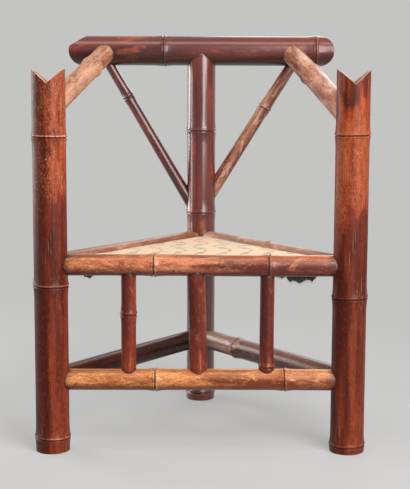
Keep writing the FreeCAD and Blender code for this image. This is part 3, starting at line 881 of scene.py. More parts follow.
def finish_piece(piece: Piece, body: str, slot: str, *nodes: str) -> None:
    """Tell the frame about a finished piece.

    Args:
        piece: The piece, with its plain mesh.
        body: The body that it moves with.
        slot: The record's material slot; not used.
        *nodes: The nodes that it stands for.
    """
    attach(piece, body)
    if nodes:
        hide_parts(*nodes)
    LOG.info("%s: %d faces on %s", piece.name, len(piece.data.polygons), body)


class CaneTree:
    """The Geometry Nodes tree that grows a cane from its unrolled skin."""

    def __init__(self) -> None:
        """Build the tree and the group for one node of a cane."""
        self.ring = self.make_ring()
        self.tree = self.make_cane()

    @staticmethod
    def make_ring() -> bpy.types.NodeTree:
        """One node of a cane.

        Returns:
            The group, which turns a distance along the cane into the swelling, the raised ridge
            and the sheath's scar below it.
        """
        board, given, result = new_group("bamboo node", "GeometryNodeTree", {
            "Along": 0.0, "Place": NO_NODE, "Swell Length": SWELL_LENGTH, "Ring Width": RING_WIDTH,
        }, {"Swell": FLOAT, "Ridge": FLOAT, "Scar": FLOAT})
        offset, width = given["Along"] - given["Place"], given["Ring Width"]
        ridge = board.fade(abs(offset - width * 0.55), 0.0, width, 1.0, 0.0)
        lip = board.fade(abs(offset + width * 0.9), 0.0, width * 0.75, 0.55, 0.0)
        board.fill(result, {
            "Swell": board.fade(abs(offset), 0.0, given["Swell Length"], 1.0, 0.0),
            "Ridge": board.math("MAXIMUM", ridge, lip),
            "Scar": board.fade(abs(offset + width * 0.22), 0.0, width * 0.34, 1.0, 0.0)})
        return board.tree

    def make_cane(self) -> bpy.types.NodeTree:
        """The whole cane.

        Returns:
            The tree, with the cane's sizes, nodes, groove and unevenness as named inputs.
        """
        nodes = ["Node %d" % number for number in range(1, MOST_NODES + 1)]
        board, given, result = new_group("bamboo cane", "GeometryNodeTree", {
            "Geometry": GEOMETRY, "Length": 1.0, "Start Radius": 0.02, "End Radius": 0.02, "Bore Radius": 0.015,
            **{name: NO_NODE for name in nodes}, "Node Swell": NODE_SWELL, "Swell Length": SWELL_LENGTH,
            "Ring Height": RING_HEIGHT, "Ring Width": RING_WIDTH, "Ring Tilt": 0.0, "Scar Depth": SCAR_DEPTH,
            "Crook": 0.0008, "Oval": 0.0003, "Lumps": 0.0003, "Groove Angle": 0.0, "Groove Depth": 0.0,
            "Groove Width": 0.005, "Groove From": 0.0, "Groove To": 0.0, "Groove Dirt": 0.0, "Seed": 0.0,
            "Root": ZERO, "Axis": ZERO, "Side": ZERO, "Out": ZERO, "Skin": MATERIAL, "Raw": MATERIAL,
        }, {"Geometry": GEOMETRY})
        along, angle, spread, kind = (
            board.take("GeometryNodeInputNamedAttribute", {"Name": name}, data_type="FLOAT")
            for name in ("along", "angle", "spread", "kind"))
        cosine, sine = board.math("COSINE", angle), board.math("SINE", angle)
        seed, bore = given["Seed"], given["Bore Radius"]
        rings = [board.group(self.ring, {
            "Along": along + given["Ring Tilt"] * cosine, "Place": given[name],
            "Swell Length": given["Swell Length"], "Ring Width": given["Ring Width"]}) for name in nodes]
        swell, ridge, scar = (board.total([ring[name] for ring in rings]) for name in ("Swell", "Ridge", "Scar"))

        share = along / given["Length"]
        taper = given["Start Radius"] + share * (given["End Radius"] - given["Start Radius"])
        lump = board.noise(board.combine(cosine + seed * 7.3, sine, along * 18.0), 1.1, 3.0) - 0.5
        turn = angle - given["Groove Angle"]
        near = board.math("ARCTAN2", board.math("SINE", turn), board.math("COSINE", turn)) * taper
        begin = given["Groove From"]
        runs = (board.fade(along, begin - GROOVE_RUN_IN, begin + GROOVE_RUN_IN)
                * board.fade(along, begin, given["Groove To"], 1.0, 0.0))
        groove = board.fade(abs(near), 0.0, given["Groove Width"], 1.0, 0.0) * runs
        outer = (taper + swell * given["Node Swell"] + ridge * given["Ring Height"] - scar * given["Scar Depth"]
                 + lump * (given["Lumps"] * 2.0) + board.math("COSINE", angle * 2.0 + seed) * given["Oval"]
                 - groove * given["Groove Depth"])
        radius = ((outer - bore) * board.math("MAXIMUM", spread, 0.0)
                  + bore * (board.math("MINIMUM", spread, 0.0) + 1.0))

        bow = board.math("SINE", share * math.pi) * given["Crook"]
        across = cosine * radius + bow * board.math("SINE", share * 5.0 + seed)
        outward = sine * radius + bow * board.math("COSINE", share * 3.1 + seed)
        place = given["Root"]
        for name, distance in (("Axis", along), ("Side", across), ("Out", outward)):
            place = board.vector("ADD", place, board.vector("SCALE", given[name], distance))
        shape = board.take("GeometryNodeSetPosition", {"Geometry": given["Geometry"], "Position": place})
        # The ring attribute: the pale ridge, the dark scar, and the groove's bottom darkened by the cane's groove
        # darkening
        for name, value, sort in (
                ("grain", board.combine(cosine * radius, sine * radius, along), "FLOAT_VECTOR"),
                ("ring", ridge - scar * 1.9 - groove * given["Groove Dirt"], "FLOAT")):
            shape = board.take("GeometryNodeStoreNamedAttribute",
                               {"Geometry": shape, "Name": name, "Value": value}, data_type=sort)
        is_rim = board.math("COMPARE", kind, float(FaceKind.RIM.value), 0.1)
        shape = board.take("GeometryNodeSetShadeSmooth", {"Geometry": shape, "Shade Smooth": 1.0 - is_rim})
        shape = board.take("GeometryNodeRealizeInstances", {"Geometry": shape})
        shape = board.take("GeometryNodeSetMaterial", {"Geometry": shape, "Material": given["Skin"]})
        shape = board.take("GeometryNodeSetMaterial", {
            "Geometry": shape, "Selection": board.math("GREATER_THAN", kind, 0.5), "Material": given["Raw"]})
        board.fill(result, {"Geometry": shape})
        return board.tree


@dataclass(frozen=True)
class Groove:
    """The groove along one side of a cane, and how dark its bottom is."""

    angle: float = 0.0
    depth: float = 0.0
    begin: float = 0.0
    end: float = 0.0
    # How much darker the bottom of the groove is coloured
    bottom_darkening: float = 0.0


@dataclass
class Cane:
    """A cane between two points: its sizes, and how its ends are cut."""

    name: str
    start: Vector
    end: Vector
    start_radius: float
    end_radius: float
    wall: float
    nodes: tuple[float, ...] = ()
    start_hosts: tuple["Cane", ...] = ()
    end_hosts: tuple["Cane", ...] = ()
    start_cut: EndCut = EndCut.COPED
    end_cut: EndCut = EndCut.COPED
    side: Vector = field(default_factory=RIGHTWARD.copy)
    strands: int = 48
    notch_depth: float = 0.030
    start_slant: tuple[float, float] | None = None
    groove: Groove = Groove()
    crook: float = 0.0008
    ring_tilt: float = 0.0
    seed: int = 1

    def __post_init__(self) -> None:
        """Work out the cane's own directions and the places of its strands."""
        self.length = (self.end - self.start).length
        self.axis = (self.end - self.start).normalized()
        self.side = (self.side - self.axis * self.side.dot(self.axis)).normalized()
        self.out = self.axis.cross(self.side)
        self.bore = min(self.start_radius, self.end_radius) - self.wall
        self.angles = [2.0 * math.pi * index / self.strands for index in range(self.strands)]

    def radius_at(self, along: float) -> float:
        """Work out the outer radius, with the swelling of the nodes.

        Args:
            along: A distance along the cane.

        Returns:
            The radius there.
        """
        taper = self.start_radius + (self.end_radius - self.start_radius) * along / self.length
        swelling = 0.0
        for node in self.nodes:
            share = min(abs(along - node) / SWELL_LENGTH, 1.0)
            swelling += 1.0 - share * share * (3.0 - 2.0 * share)
        return taper + NODE_SWELL * swelling

    def meets(self, host: "Cane", around: Vector, near: float, leaving: bool) -> float | None:
        """Find where one strand of the cane passes through a host's surface.

        Args:
            host: The cane that this one is coped to.
            around: The strand's direction from the axis.
            near: A distance along the cane close to the meeting.
            leaving: True at the start of the cane, where the strand comes out of the host.

        Returns:
            The distance along the cane, or None if the strand misses the host.
        """
        root = self.start + around * self.radius_at(near) - host.start
        flat_root = root - host.axis * root.dot(host.axis)
        flat_axis = self.axis - host.axis * self.axis.dot(host.axis)
        reach = host.radius_at((self.start + self.axis * near - host.start).dot(host.axis)) - COPE_SINK
        a = flat_axis.length_squared
        b = 2.0 * flat_axis.dot(flat_root)
        c = flat_root.length_squared - reach * reach
        inside = b * b - 4.0 * a * c
        if inside < 0.0:
            return None
        return (-b + math.sqrt(inside) * (1.0 if leaving else -1.0)) / (2.0 * a)

    def trim(self, angle: float, at_start: bool, inner: bool) -> float:
        """Find how far along the cane one strand begins or ends.

        Args:
            angle: The strand's place round the cane.
            at_start: Whether this is the start of the cane.
            inner: Whether the strand runs on the bore and not on the skin.

        Returns:
            The distance along the cane.
        """
        cut = self.start_cut if at_start else self.end_cut
        if cut is EndCut.SAWN:
            return 0.0 if at_start else self.length
        if cut is EndCut.NOTCHED:
            tip = self.start_radius if at_start else self.end_radius
            radius = self.bore if inner else tip
            depth = self.notch_depth * (1.0 - min(abs(math.cos(angle)) * radius / tip, 0.985))
            if at_start and self.start_slant:
                begins, slope = self.start_slant
                depth = max(depth, (math.sin(angle) * radius - begins) * slope)
            return depth if at_start else self.length - depth
        around = self.side * math.cos(angle) + self.out * math.sin(angle)
        hosts = self.start_hosts if at_start else self.end_hosts
        near = hosts[0].start_radius if at_start else self.length - hosts[0].start_radius
        for _ in range(3):
            found = [self.meets(host, around, near, at_start) for host in hosts]
            found = [place for place in found if place is not None]
            near = (max(found) if at_start else min(found)) if found else near
        return near

    def trims(self, at_start: bool, inner: bool = False) -> list[float]:
        """How far along the cane each strand begins or ends."""
        return [self.trim(angle, at_start, inner) for angle in self.angles]

    def stations(self, low: float, high: float) -> list[float]:
        """Place the level rows, close together at the nodes.

        Args:
            low: The first row.
            high: The last row.

        Returns:
            The distances of the rows.
        """
        count = max(int((high - low) / LEVEL_ROW_STEP), 2)
        rows = {low, high}
        rows.update(low + (high - low) * step / count for step in range(1, count))
        for node in self.nodes:
            rows = {row for row in rows if abs(row - node) > 0.010 or row in (low, high)}
            rows.update(node + step * 0.0009 for step in range(-9, 8))
            rows.update(node + side * reach for side in (-1, 1) for reach in (0.012, 0.016, 0.021, 0.028))
        ordered = sorted(row for row in rows if low <= row <= high)
        kept = [ordered[0]]
        for row in ordered[1:-1]:
            if row - kept[-1] > LEAST_ROW_STEP and high - row > LEAST_ROW_STEP:
                kept.append(row)
        return kept + [ordered[-1]]

    def end_rows(self, at_start: bool) -> list[tuple[Row, FaceKind]]:
        """Lay the rows of one end, from the middle of what closes it out to the edge of its bore.

        Args:
            at_start: Whether this is the start of the cane.

        Returns:
            Each row with the kind of the faces outside it.
        """
        inner = self.trims(at_start, True)
        if (self.start_cut if at_start else self.end_cut) is EndCut.COPED:
            return [([(place, 0.0) for place in inner], FaceKind.RIM)]
        inward, deepest = (1.0, max(inner)) if at_start else (-1.0, min(inner))
        gaps = [abs(node - deepest) - WEB_HALF for node in self.nodes if (node - deepest) * inward > 0]
        floor = deepest + inward * min([OPEN_BORE_DEPTH] + gaps)
        rows = [[pair] * self.strands
                for pair in ((floor + inward * 0.0012, -0.6), (floor, -0.06), (floor - inward * 0.002, 0.0))]
        rows += [[(floor + (place - floor) * share, 0.0) for place in inner] for share in (0.25, 0.5, 0.75, 1.0)]
        return [(row, FaceKind.BORE) for row in rows[:-1]] + [(rows[-1], FaceKind.RIM)]

    def grid(self) -> list[tuple[Row, FaceKind]]:
        """Unroll the skin, from the middle of one end to the middle of the other.

        Returns:
            Rows of (along, spread) for each strand, each with the kind of the faces after it.
        """
        lows, highs = self.trims(True), self.trims(False)
        first, last = max(lows) + TRIM_MARGIN, min(highs) - TRIM_MARGIN
        near, far = (0.0 if cut is EndCut.COPED else RIM_CHAMFER for cut in (self.start_cut, self.end_cut))
        laid = self.end_rows(True)
        if near:
            laid.append(([(low, 1.0 - near / self.wall) for low in lows], FaceKind.RIM))
        fill = max(int((first - min(lows)) / CUT_ROW_STEP), 1)
        laid += [([(low + near + (first - low - near) * step / fill, 1.0) for low in lows], FaceKind.SKIN)
                 for step in range(fill)]
        laid += [([(station, 1.0)] * self.strands, FaceKind.SKIN) for station in self.stations(first, last)]
        fill = max(int((max(highs) - last) / CUT_ROW_STEP), 1)
        laid += [([(last + (high - far - last) * step / fill, 1.0) for high in highs], FaceKind.SKIN)
                 for step in range(1, fill + 1)]
        laid[-1] = (laid[-1][0], FaceKind.RIM)
        if far:
            laid.append(([(high, 1.0 - far / self.wall) for high in highs], FaceKind.RIM))
        tail = self.end_rows(False)[::-1]
        following = [kind for _, kind in tail[1:]] + [FaceKind.BORE]
        return laid + [(row, kind) for (row, _), kind in zip(tail, following)]

    def build(self, tree: CaneTree, skin: Material, raw: Material) -> Piece:
        """Make the cane's mesh.

        Args:
            tree: The tree that grows canes.
            skin: Material of its stained skin.
            raw: Material of its cut ends and bore.

        Returns:
            The finished piece.
        """
        rows = self.grid()
        count = self.strands
        along = [place for row, _ in rows for place, _ in row]
        spread = [reach for row, _ in rows for _, reach in row]
        angle = self.angles * len(rows)
        faces, kinds = [], []
        for number, (_, kind) in enumerate(rows[:-1]):
            low, high = number * count, (number + 1) * count
            for index in range(count):
                after = (index + 1) % count
                faces.append((low + index, low + after, high + after, high + index))
                kinds.append(float(kind.value))
        edge = [1.0] * len(along)
        for cut, trims, sign in ((self.start_cut, self.trims(True), 1.0), (self.end_cut, self.trims(False), -1.0)):
            if cut is EndCut.COPED:
                edge = [min(reach, max((place - trims[number % count]) * sign, 0.0))
                        for number, (reach, place) in enumerate(zip(edge, along))]
        for number in (0, len(rows) - 1):
            pole = len(along)
            along.append(sum(place for place, _ in rows[number][0]) / count)
            spread.append(-1.0)
            angle.append(0.0)
            edge.append(1.0)
            for index in range(count):
                pair = (number * count + index, number * count + (index + 1) % count)
                faces.append((pole, *(pair[::-1] if number == 0 else pair)))
                kinds.append(float(FaceKind.BORE.value))
        piece = new_piece(self.name + "_cane", [ZERO] * len(along), faces)
        for name, values, domain in (("along", along, "POINT"), ("spread", spread, "POINT"),
                                     ("angle", angle, "POINT"), ("edge", edge, "POINT"), ("kind", kinds, "FACE")):
            piece.data.attributes.new(name, "FLOAT", domain).data.foreach_set("value", values)
        return grow(piece, tree.tree, {
            "Length": self.length, "Start Radius": self.start_radius, "End Radius": self.end_radius,
            "Bore Radius": self.bore, "Crook": self.crook, "Ring Tilt": self.ring_tilt,
            "Oval": random.Random(self.seed).uniform(0.0001, 0.0004), "Groove Angle": self.groove.angle,
            "Groove Depth": self.groove.depth, "Groove From": self.groove.begin, "Groove To": self.groove.end,
            "Groove Dirt": self.groove.bottom_darkening, "Seed": float(self.seed), "Root": tuple(self.start),
            "Axis": tuple(self.axis), "Side": tuple(self.side), "Out": tuple(self.out), "Skin": skin, "Raw": raw,
            **{"Node %d" % (number + 1): node for number, node in enumerate(self.nodes)}})


class CaneAssembly:
    """Canes that make one part of the frame."""

    canes: list[Cane]

    def build(self, tree: CaneTree, groups: ShaderGroups, raw: Material) -> None:
        """Make and dress every cane.

        Args:
            tree: The tree that grows canes.
            groups: The shared shader effects.
            raw: Material of cut ends.
        """
        for cane in self.canes:
            finish = STAINS[cane.name]
            finish_piece(cane.build(tree, finish.material(groups), raw), "frame", finish.slot, cane.name)


@dataclass
class Uprights(CaneAssembly):
    """The three posts and the crest rail that the rear one carries."""

    front_height: float = 0.798
    crest_length: float = 0.624
    crest_radius: float = 0.0343
    crest_notch: float = 0.029
    front_radii: tuple[float, float] = (0.0354, 0.0346)
    rear_radii: tuple[float, float] = (0.0340, 0.0334)
    wall: float = 0.006

    def __post_init__(self) -> None:
        """Lay the uprights out."""
        lift, middle, half = UP * self.front_height, REAR_CORNER + UP * CREST_HEIGHT, self.crest_length / 2
        post = {"start_cut": EndCut.SAWN, "strands": THICK_STRANDS, "crook": 0.0}
        self.left = Cane("front_left_post", LEFT_CORNER, LEFT_CORNER + lift, *self.front_radii, self.wall,
                         (0.030, 0.352, 0.659), end_cut=EndCut.NOTCHED, ring_tilt=0.0006, seed=3, **post)
        self.right = Cane("front_right_post", RIGHT_CORNER, RIGHT_CORNER + lift, *self.front_radii, self.wall,
                          (0.015, 0.329, 0.665), end_cut=EndCut.NOTCHED, ring_tilt=-0.0009, seed=5,
                          groove=Groove(-0.68, 0.0015, -0.1, 2.4, 0.3), **post)
        self.crest = Cane("crest_rail", middle - RIGHTWARD * half, middle + RIGHTWARD * half, self.crest_radius,
                          self.crest_radius, self.wall, (0.223, 0.581), start_cut=EndCut.NOTCHED,
                          end_cut=EndCut.NOTCHED, side=BACKWARD, strands=THICK_STRANDS, crook=0.0,
                          notch_depth=self.crest_notch, start_slant=(0.0096, 1.65), seed=8)
        self.rear = Cane("rear_post", REAR_CORNER, middle, *self.rear_radii, self.wall,
                         (0.020, 0.337, 0.460, 0.656), end_hosts=(self.crest,), ring_tilt=0.0005, seed=11, **post)
        self.canes = [self.left, self.right, self.rear, self.crest]


@dataclass
class Arms(CaneAssembly):
    """The sloping arms from the front posts to the crest rail, and the braces of the back."""

    posts: Uprights
    wall: float = 0.005
    brace_wall: float = 0.0035
    # Height on the post, reach from the chair's middle, radius, node and seed
    left_arm: tuple[float, float, float, float, int] = (0.711, -0.222, 0.0223, 0.317, 14)
    right_arm: tuple[float, float, float, float, int] = (0.692, 0.208, 0.0233, 0.291, 17)
    # Height on the rear post, reach from the chair's middle, lower and upper radius, node and seed
    left_brace: tuple[float, float, float, float, float, int] = (0.441, -0.238, 0.0142, 0.0114, 0.341, 19)
    right_brace: tuple[float, float, float, float, float, int] = (0.469, 0.235, 0.0158, 0.0122, 0.283, 23)
    left_groove: Groove = Groove(math.pi * 0.86, 0.0016, 0.02, 0.345, 0.4)
    right_groove: Groove = Groove(math.pi * 1.06, 0.0013, 0.02, 0.29)

    def __post_init__(self) -> None:
        """Lay the arms and braces out."""
        middle, crest, rear = REAR_CORNER + UP * CREST_HEIGHT, (self.posts.crest,), (self.posts.rear,)
        self.canes = []
        for name, post, (height, reach, radius, node, seed) in (
                ("left_arm", self.posts.left, self.left_arm), ("right_arm", self.posts.right, self.right_arm)):
            self.canes.append(Cane(name, post.start + UP * height, middle + RIGHTWARD * reach, radius, radius,
                                   self.wall, (node,), (post,), crest, side=UP, seed=seed))
        for name, groove, (height, reach, lower, upper, node, seed) in (
                ("left_brace", self.left_groove, self.left_brace),
                ("right_brace", self.right_groove, self.right_brace)):
            self.canes.append(Cane(name, REAR_CORNER + UP * height, middle + RIGHTWARD * reach, lower, upper,
                                   self.brace_wall, (node,), rear, crest, side=BACKWARD, strands=THIN_STRANDS,
                                   groove=groove, seed=seed))


@dataclass
class Rails(CaneAssembly):
    """A level triangle of rails between the posts."""

    posts: Uprights
    kind: str
    height: float
    radius: float
    front_nodes: tuple[float, ...]
    right_nodes: tuple[float, ...]
    seed: int
    wall: float = 0.005

    def __post_init__(self) -> None:
        """Lay the three rails out."""
        posts = self.posts
        left, right, rear = (corner + UP * self.height for corner in CORNERS)
        sizes = (self.radius, self.radius, self.wall)
        self.front = Cane("front_" + self.kind, left, right, *sizes, self.front_nodes, (posts.left,),
                          (posts.right,), side=UP, seed=self.seed)
        left_rail = Cane("left_" + self.kind, left, rear, *sizes, (), (posts.left, self.front), (posts.rear,),
                         side=UP, seed=self.seed + 1)
        right_rail = Cane("right_" + self.kind, right, rear, *sizes, self.right_nodes, (posts.right, self.front),
                          (posts.rear, left_rail), side=UP, seed=self.seed + 2)
        self.canes = [self.front, left_rail, right_rail]


@dataclass
class Spindles(CaneAssembly):
    """The three spindles between the front seat rail and the front stretcher."""

    seat_rail: Cane
    stretcher: Cane
    wall: float = 0.004
    crook: float = 0.0004
    # Name, offsets of foot and top from the chair's middle, radius, nodes, seed and groove
    places: tuple[tuple[str, float, float, float, tuple[float, ...], int, Groove], ...] = (
        ("left_spindle", -0.149, -0.149, 0.0158, (0.1395,), 41, Groove()),
        ("centre_spindle", -0.003, -0.0095, 0.0184, (), 43, Groove(-0.95, 0.0016, 0.0, 0.3, 0.25)),
        ("right_spindle", 0.139, 0.139, 0.0152, (0.0295,), 47, Groove(-1.9, 0.0008, 0.03, 0.3, 0.25)))

    def __post_init__(self) -> None:
        """Lay the spindles out."""
        self.canes = [
            Cane(name, Vector((foot, FRONT_Y, STRETCHER_HEIGHT)), Vector((top, FRONT_Y, SEAT_RAIL_HEIGHT)),
                 radius, radius, self.wall, nodes, (self.stretcher,), (self.seat_rail,), strands=THIN_STRANDS,
                 groove=groove, crook=self.crook, seed=seed)
            for name, foot, top, radius, nodes, seed, groove in self.places]


def triangle_ring(inset: float, height: float, corner_radius: float, per_side: int,
                  per_corner: int) -> list[Vector]:
    """Lay points round a level triangle inside the rails' axes, with rounded corners.

    Args:
        inset: How far inside the axes it runs.
        height: Its height.
        corner_radius: Radius of its corners.
        per_side: Number of points along each straight side.
        per_corner: Number of steps round each corner.

    Returns:
        The points, anticlockwise as seen from above.
    """
    arcs = []
    for index, corner in enumerate(CORNERS):
        before = (CORNERS[index - 1] - corner).normalized()
        after = (CORNERS[(index + 1) % 3] - corner).normalized()
        middle, half = (before + after).normalized(), math.asin((before - after).length / 2.0)
        tip = corner + middle * (inset / math.sin(half))
        centre = tip + middle * (corner_radius / math.sin(half))
        back = corner_radius / math.tan(half)
        first, last = tip + before * back - centre, tip + after * back - centre
        sweep = first.xy.angle_signed(last.xy)
        arcs.append([centre + Matrix.Rotation(-sweep * step / per_corner, 3, "Z") @ first
                     for step in range(per_corner + 1)])
    ring = []
    for index, arc in enumerate(arcs):
        last, following = arc[-1], arcs[(index + 1) % 3][0]
        ring += arc + [last.lerp(following, (step + 1) / (per_side + 1)) for step in range(per_side)]
    return [Vector((point.x, point.y, height)) for point in ring]


def ring_centre(ring: list[Vector], height: float) -> Vector:
    """The point in the middle of a ring, at a height."""
    centre = sum(ring, Vector()) / len(ring)
    return Vector((centre.x, centre.y, height))


def ring_faces(rings: int, count: int) -> list[tuple[int, ...]]:
    """Close the grid between rings.

    Args:
        rings: Number of rings.
        count: Points in a ring.

    Returns:
        The faces, which face out where the rings run down the outside.
    """
    return [(low + index, low + count + index, low + count + (index + 1) % count, low + (index + 1) % count)
            for low in range(0, (rings - 1) * count, count) for index in range(count)]


@dataclass
class SeatPad:
    """The padded seat: stuffing on a board, under a cloth that is turned in below and tacked."""

    corner_radius: float = 0.014
    bottom: float = 0.3920
    board_bottom: float = 0.3932
    board_top: float = 0.4012
    edge: float = 0.4046
    crown: float = 0.0075
    crown_reach: float = 0.105
    top_reach: float = 0.112
    top_rings: int = 24
    turned_under: float = 0.026
    per_side: int = 52
    per_corner: int = 8
    free_rings: int = 28
    uneven_rings: int = 32
    most_rise: float = 0.0022
    most_spread: float = 0.0006
    pressure: float = 3.0
    frames: int = 18
    seed: int = 29

    def sections(self) -> list[tuple[float, float]]:
        """Draw the pad's profile from the middle of its top, round below, and over the board inside it.

        Returns:
            Pairs of inset and height.
        """
        top = []
        for step in range(self.top_rings + 1):
            reach = (1.0 - step / self.top_rings) * self.top_reach
            level = min(reach / self.crown_reach, 1.0)
            top.append((0.0016 + reach, self.edge + 0.0012 + self.crown * (1.0 - (1.0 - level) ** 2)))
        under = self.turned_under
        return [(SEAT_INSET + offset, height) for offset, height in top + [
            (0.0005, self.edge + 0.0002), (0.0, self.edge - 0.002), (0.0001, 0.3990), (0.0001, 0.3955),
            (0.0003, 0.3932), (0.0012, self.bottom + 0.0003), (0.003, self.bottom), (0.010, self.bottom),
            (0.018, self.bottom), (under - 0.0008, self.bottom), (under, self.bottom + 0.0005),
            (under - 0.0002, self.board_bottom), (0.010, self.board_bottom), (0.0013, self.board_bottom),
            (0.0013, self.board_top), (0.030, self.board_top), (self.top_reach, self.board_top)]]

    def build(self, groups: ShaderGroups) -> None:
        """Make the pad, let it swell as stuffed cloth does, and pucker its edge.

        Args:
            groups: The shared shader effects.
        """
        sections = self.sections()
        rings = [triangle_ring(inset, height, self.corner_radius, self.per_side, self.per_corner)
                 for inset, height in sections]
        count = len(rings[0])
        places = [point for ring in rings for point in ring]
        faces = ring_faces(len(rings), count)
        pole, last = len(places), len(places) - count
        places += [ring_centre(rings[0], sections[0][1] + 0.0001), ring_centre(rings[-1], sections[-1][1])]
        for index in range(count):
            after = (index + 1) % count
            faces += [(pole, index, after), (pole + 1, last + after, last + index)]
        pad = new_piece("seat_pad", places, faces)
        clothe(pad, SeatCloth().material(groups))
        self.swell(pad, count)
        self.pucker(pad, count)
        smooth = pad.modifiers.new("smooth", "SUBSURF")
        smooth.levels = smooth.render_levels = 1
        finish_piece(settle(pad), "seat", "seat_fabric", "seat_cover", "seat_stuffing")

    def swell(self, pad: Piece, count: int) -> None:
        """Run the cloth simulation of the stuffing's pressure, and keep what fits between the rails.

        Args:
            pad: The pad with its plain mesh.
            count: Points in a ring.
        """
        mesh = pad.data
        total = len(mesh.vertices)
        rest = np.empty(total * 3)
        mesh.vertices.foreach_get("co", rest)
        held = pad.vertex_groups.new(name="held")
        held.add([index for index in range(self.free_rings * count, total) if index != total - 2], 1.0, "REPLACE")
        cloth = pad.modifiers.new("cloth", "CLOTH")
        settings = cloth.settings
        for name, value in (("quality", 6), ("use_pressure", True), ("uniform_pressure_force", self.pressure),
                            ("vertex_group_mass", held.name), ("tension_stiffness", 12.0),
                            ("compression_stiffness", 12.0), ("shear_stiffness", 4.0), ("bending_stiffness", 0.4)):
            setattr(settings, name, value)
        settings.effector_weights.gravity = 0.0
        cloth.collision_settings.use_collision = False
        scene = bpy.context.scene
        for number in range(1, self.frames + 1):
            scene.frame_set(number)
        moved = np.empty(total * 3)
        pad.evaluated_get(bpy.context.evaluated_depsgraph_get()).data.vertices.foreach_get("co", moved)
        shift = (moved - rest).reshape(-1, 3)
        level = np.linalg.norm(shift[:, :2], axis=1, keepdims=True)
        shift[:, :2] *= np.minimum(1.0, self.most_spread / np.maximum(level, 1e-9))
        shift[:, 2] = self.most_rise * np.tanh(shift[:, 2] / self.most_rise)
        scene.frame_set(1)
        pad.modifiers.clear()
        pad.vertex_groups.clear()
        mesh.vertices.foreach_set("co", rest + shift.ravel())
        LOG.info("seat_pad: the cloth rose by up to %.1f mm", shift[:, 2].max() / MM)

    def pucker(self, pad: Piece, count: int) -> None:
        """Draw the cloth in between its tacks, and let the stuffing lie a little unevenly.

        Args:
            pad: The pad with its plain mesh.
            count: Points in a ring.
        """
        noise = random.Random(self.seed)
        phases = [noise.uniform(0.0, 2.0 * math.pi) for _ in range(6)]
        for ring in range(self.uneven_rings):
            edge_share = math.exp(-abs(ring - self.top_rings - 1) / 3.5)
            for index in range(count):
                place = pad.data.vertices[ring * count + index].co
                turn = 2.0 * math.pi * index / count
                ripple = math.sin(turn * 21.0 + phases[0]) + 0.6 * math.sin(turn * 47.0 + phases[1])
                lumps = (math.sin(place.x * 31.0 + phases[2]) * math.cos(place.y * 27.0 + phases[3])
                         + 0.5 * math.sin(place.x * 63.0 + place.y * 41.0 + phases[4]))
                on_top = 1.0 if ring < self.top_rings + 2 else 0.0
                place.z += ripple * 0.00022 * edge_share + lumps * 0.00045 * on_top


class ThreadTree:
    """The Geometry Nodes tree that lets loose threads hang from a torn edge."""

    def __init__(self) -> None:
        """Build the tree."""
        board, given, result = new_group("loose threads", "GeometryNodeTree", {
            "Geometry": GEOMETRY, "Longest": 0.005, "Thickness": 0.0002, "Curl": 0.0025, "Seed": 4.0,
            "Cloth": MATERIAL,
        }, {"Geometry": GEOMETRY})
        line = board.take("GeometryNodeCurvePrimitiveLine", {"Start": (0.0, 0.0, 0.001), "End": (0.0, 0.0, -1.0)})
        rows = board.take("GeometryNodeResampleCurve", {"Curve": line, "Count": 9})
        length = board.take("FunctionNodeRandomValue", {2: 0.2, 3: 1.0, "Seed": 5}, 1, data_type="FLOAT")
        strewn = board.take("GeometryNodeInstanceOnPoints", {
            "Points": given["Geometry"], "Instance": rows,
            "Scale": board.combine(1.0, 1.0, length * given["Longest"])})
        real = board.take("GeometryNodeRealizeInstances", {"Geometry": strewn})
        place = board.take("GeometryNodeInputPosition")
        drawn = board.vector("ADD", place, board.combine(given["Seed"], 0.0, 0.0))
        bend = board.vector("SUBTRACT", board.noise(drawn, 160.0, 2.0, output=1), (0.5, 0.5, 0.5))
        away = board.vector("SCALE", board.vector("MULTIPLY", bend, (1.0, 0.5, 0.6)),
                            board.take("GeometryNodeSplineParameter") * (given["Curl"] * 2.0))
        bent = board.take("GeometryNodeSetPosition", {"Geometry": real, "Offset": away})
        circle = board.take("GeometryNodeCurvePrimitiveCircle", {"Resolution": 4, "Radius": given["Thickness"]})
        mesh = board.take("GeometryNodeCurveToMesh", {"Curve": bent, "Profile Curve": circle, "Fill Caps": True})
        whole = board.take("GeometryNodeRealizeInstances", {"Geometry": mesh})
        board.fill(result, {"Geometry": board.take("GeometryNodeSetMaterial", {
            "Geometry": whole, "Material": given["Cloth"]})})
        self.tree = board.tree


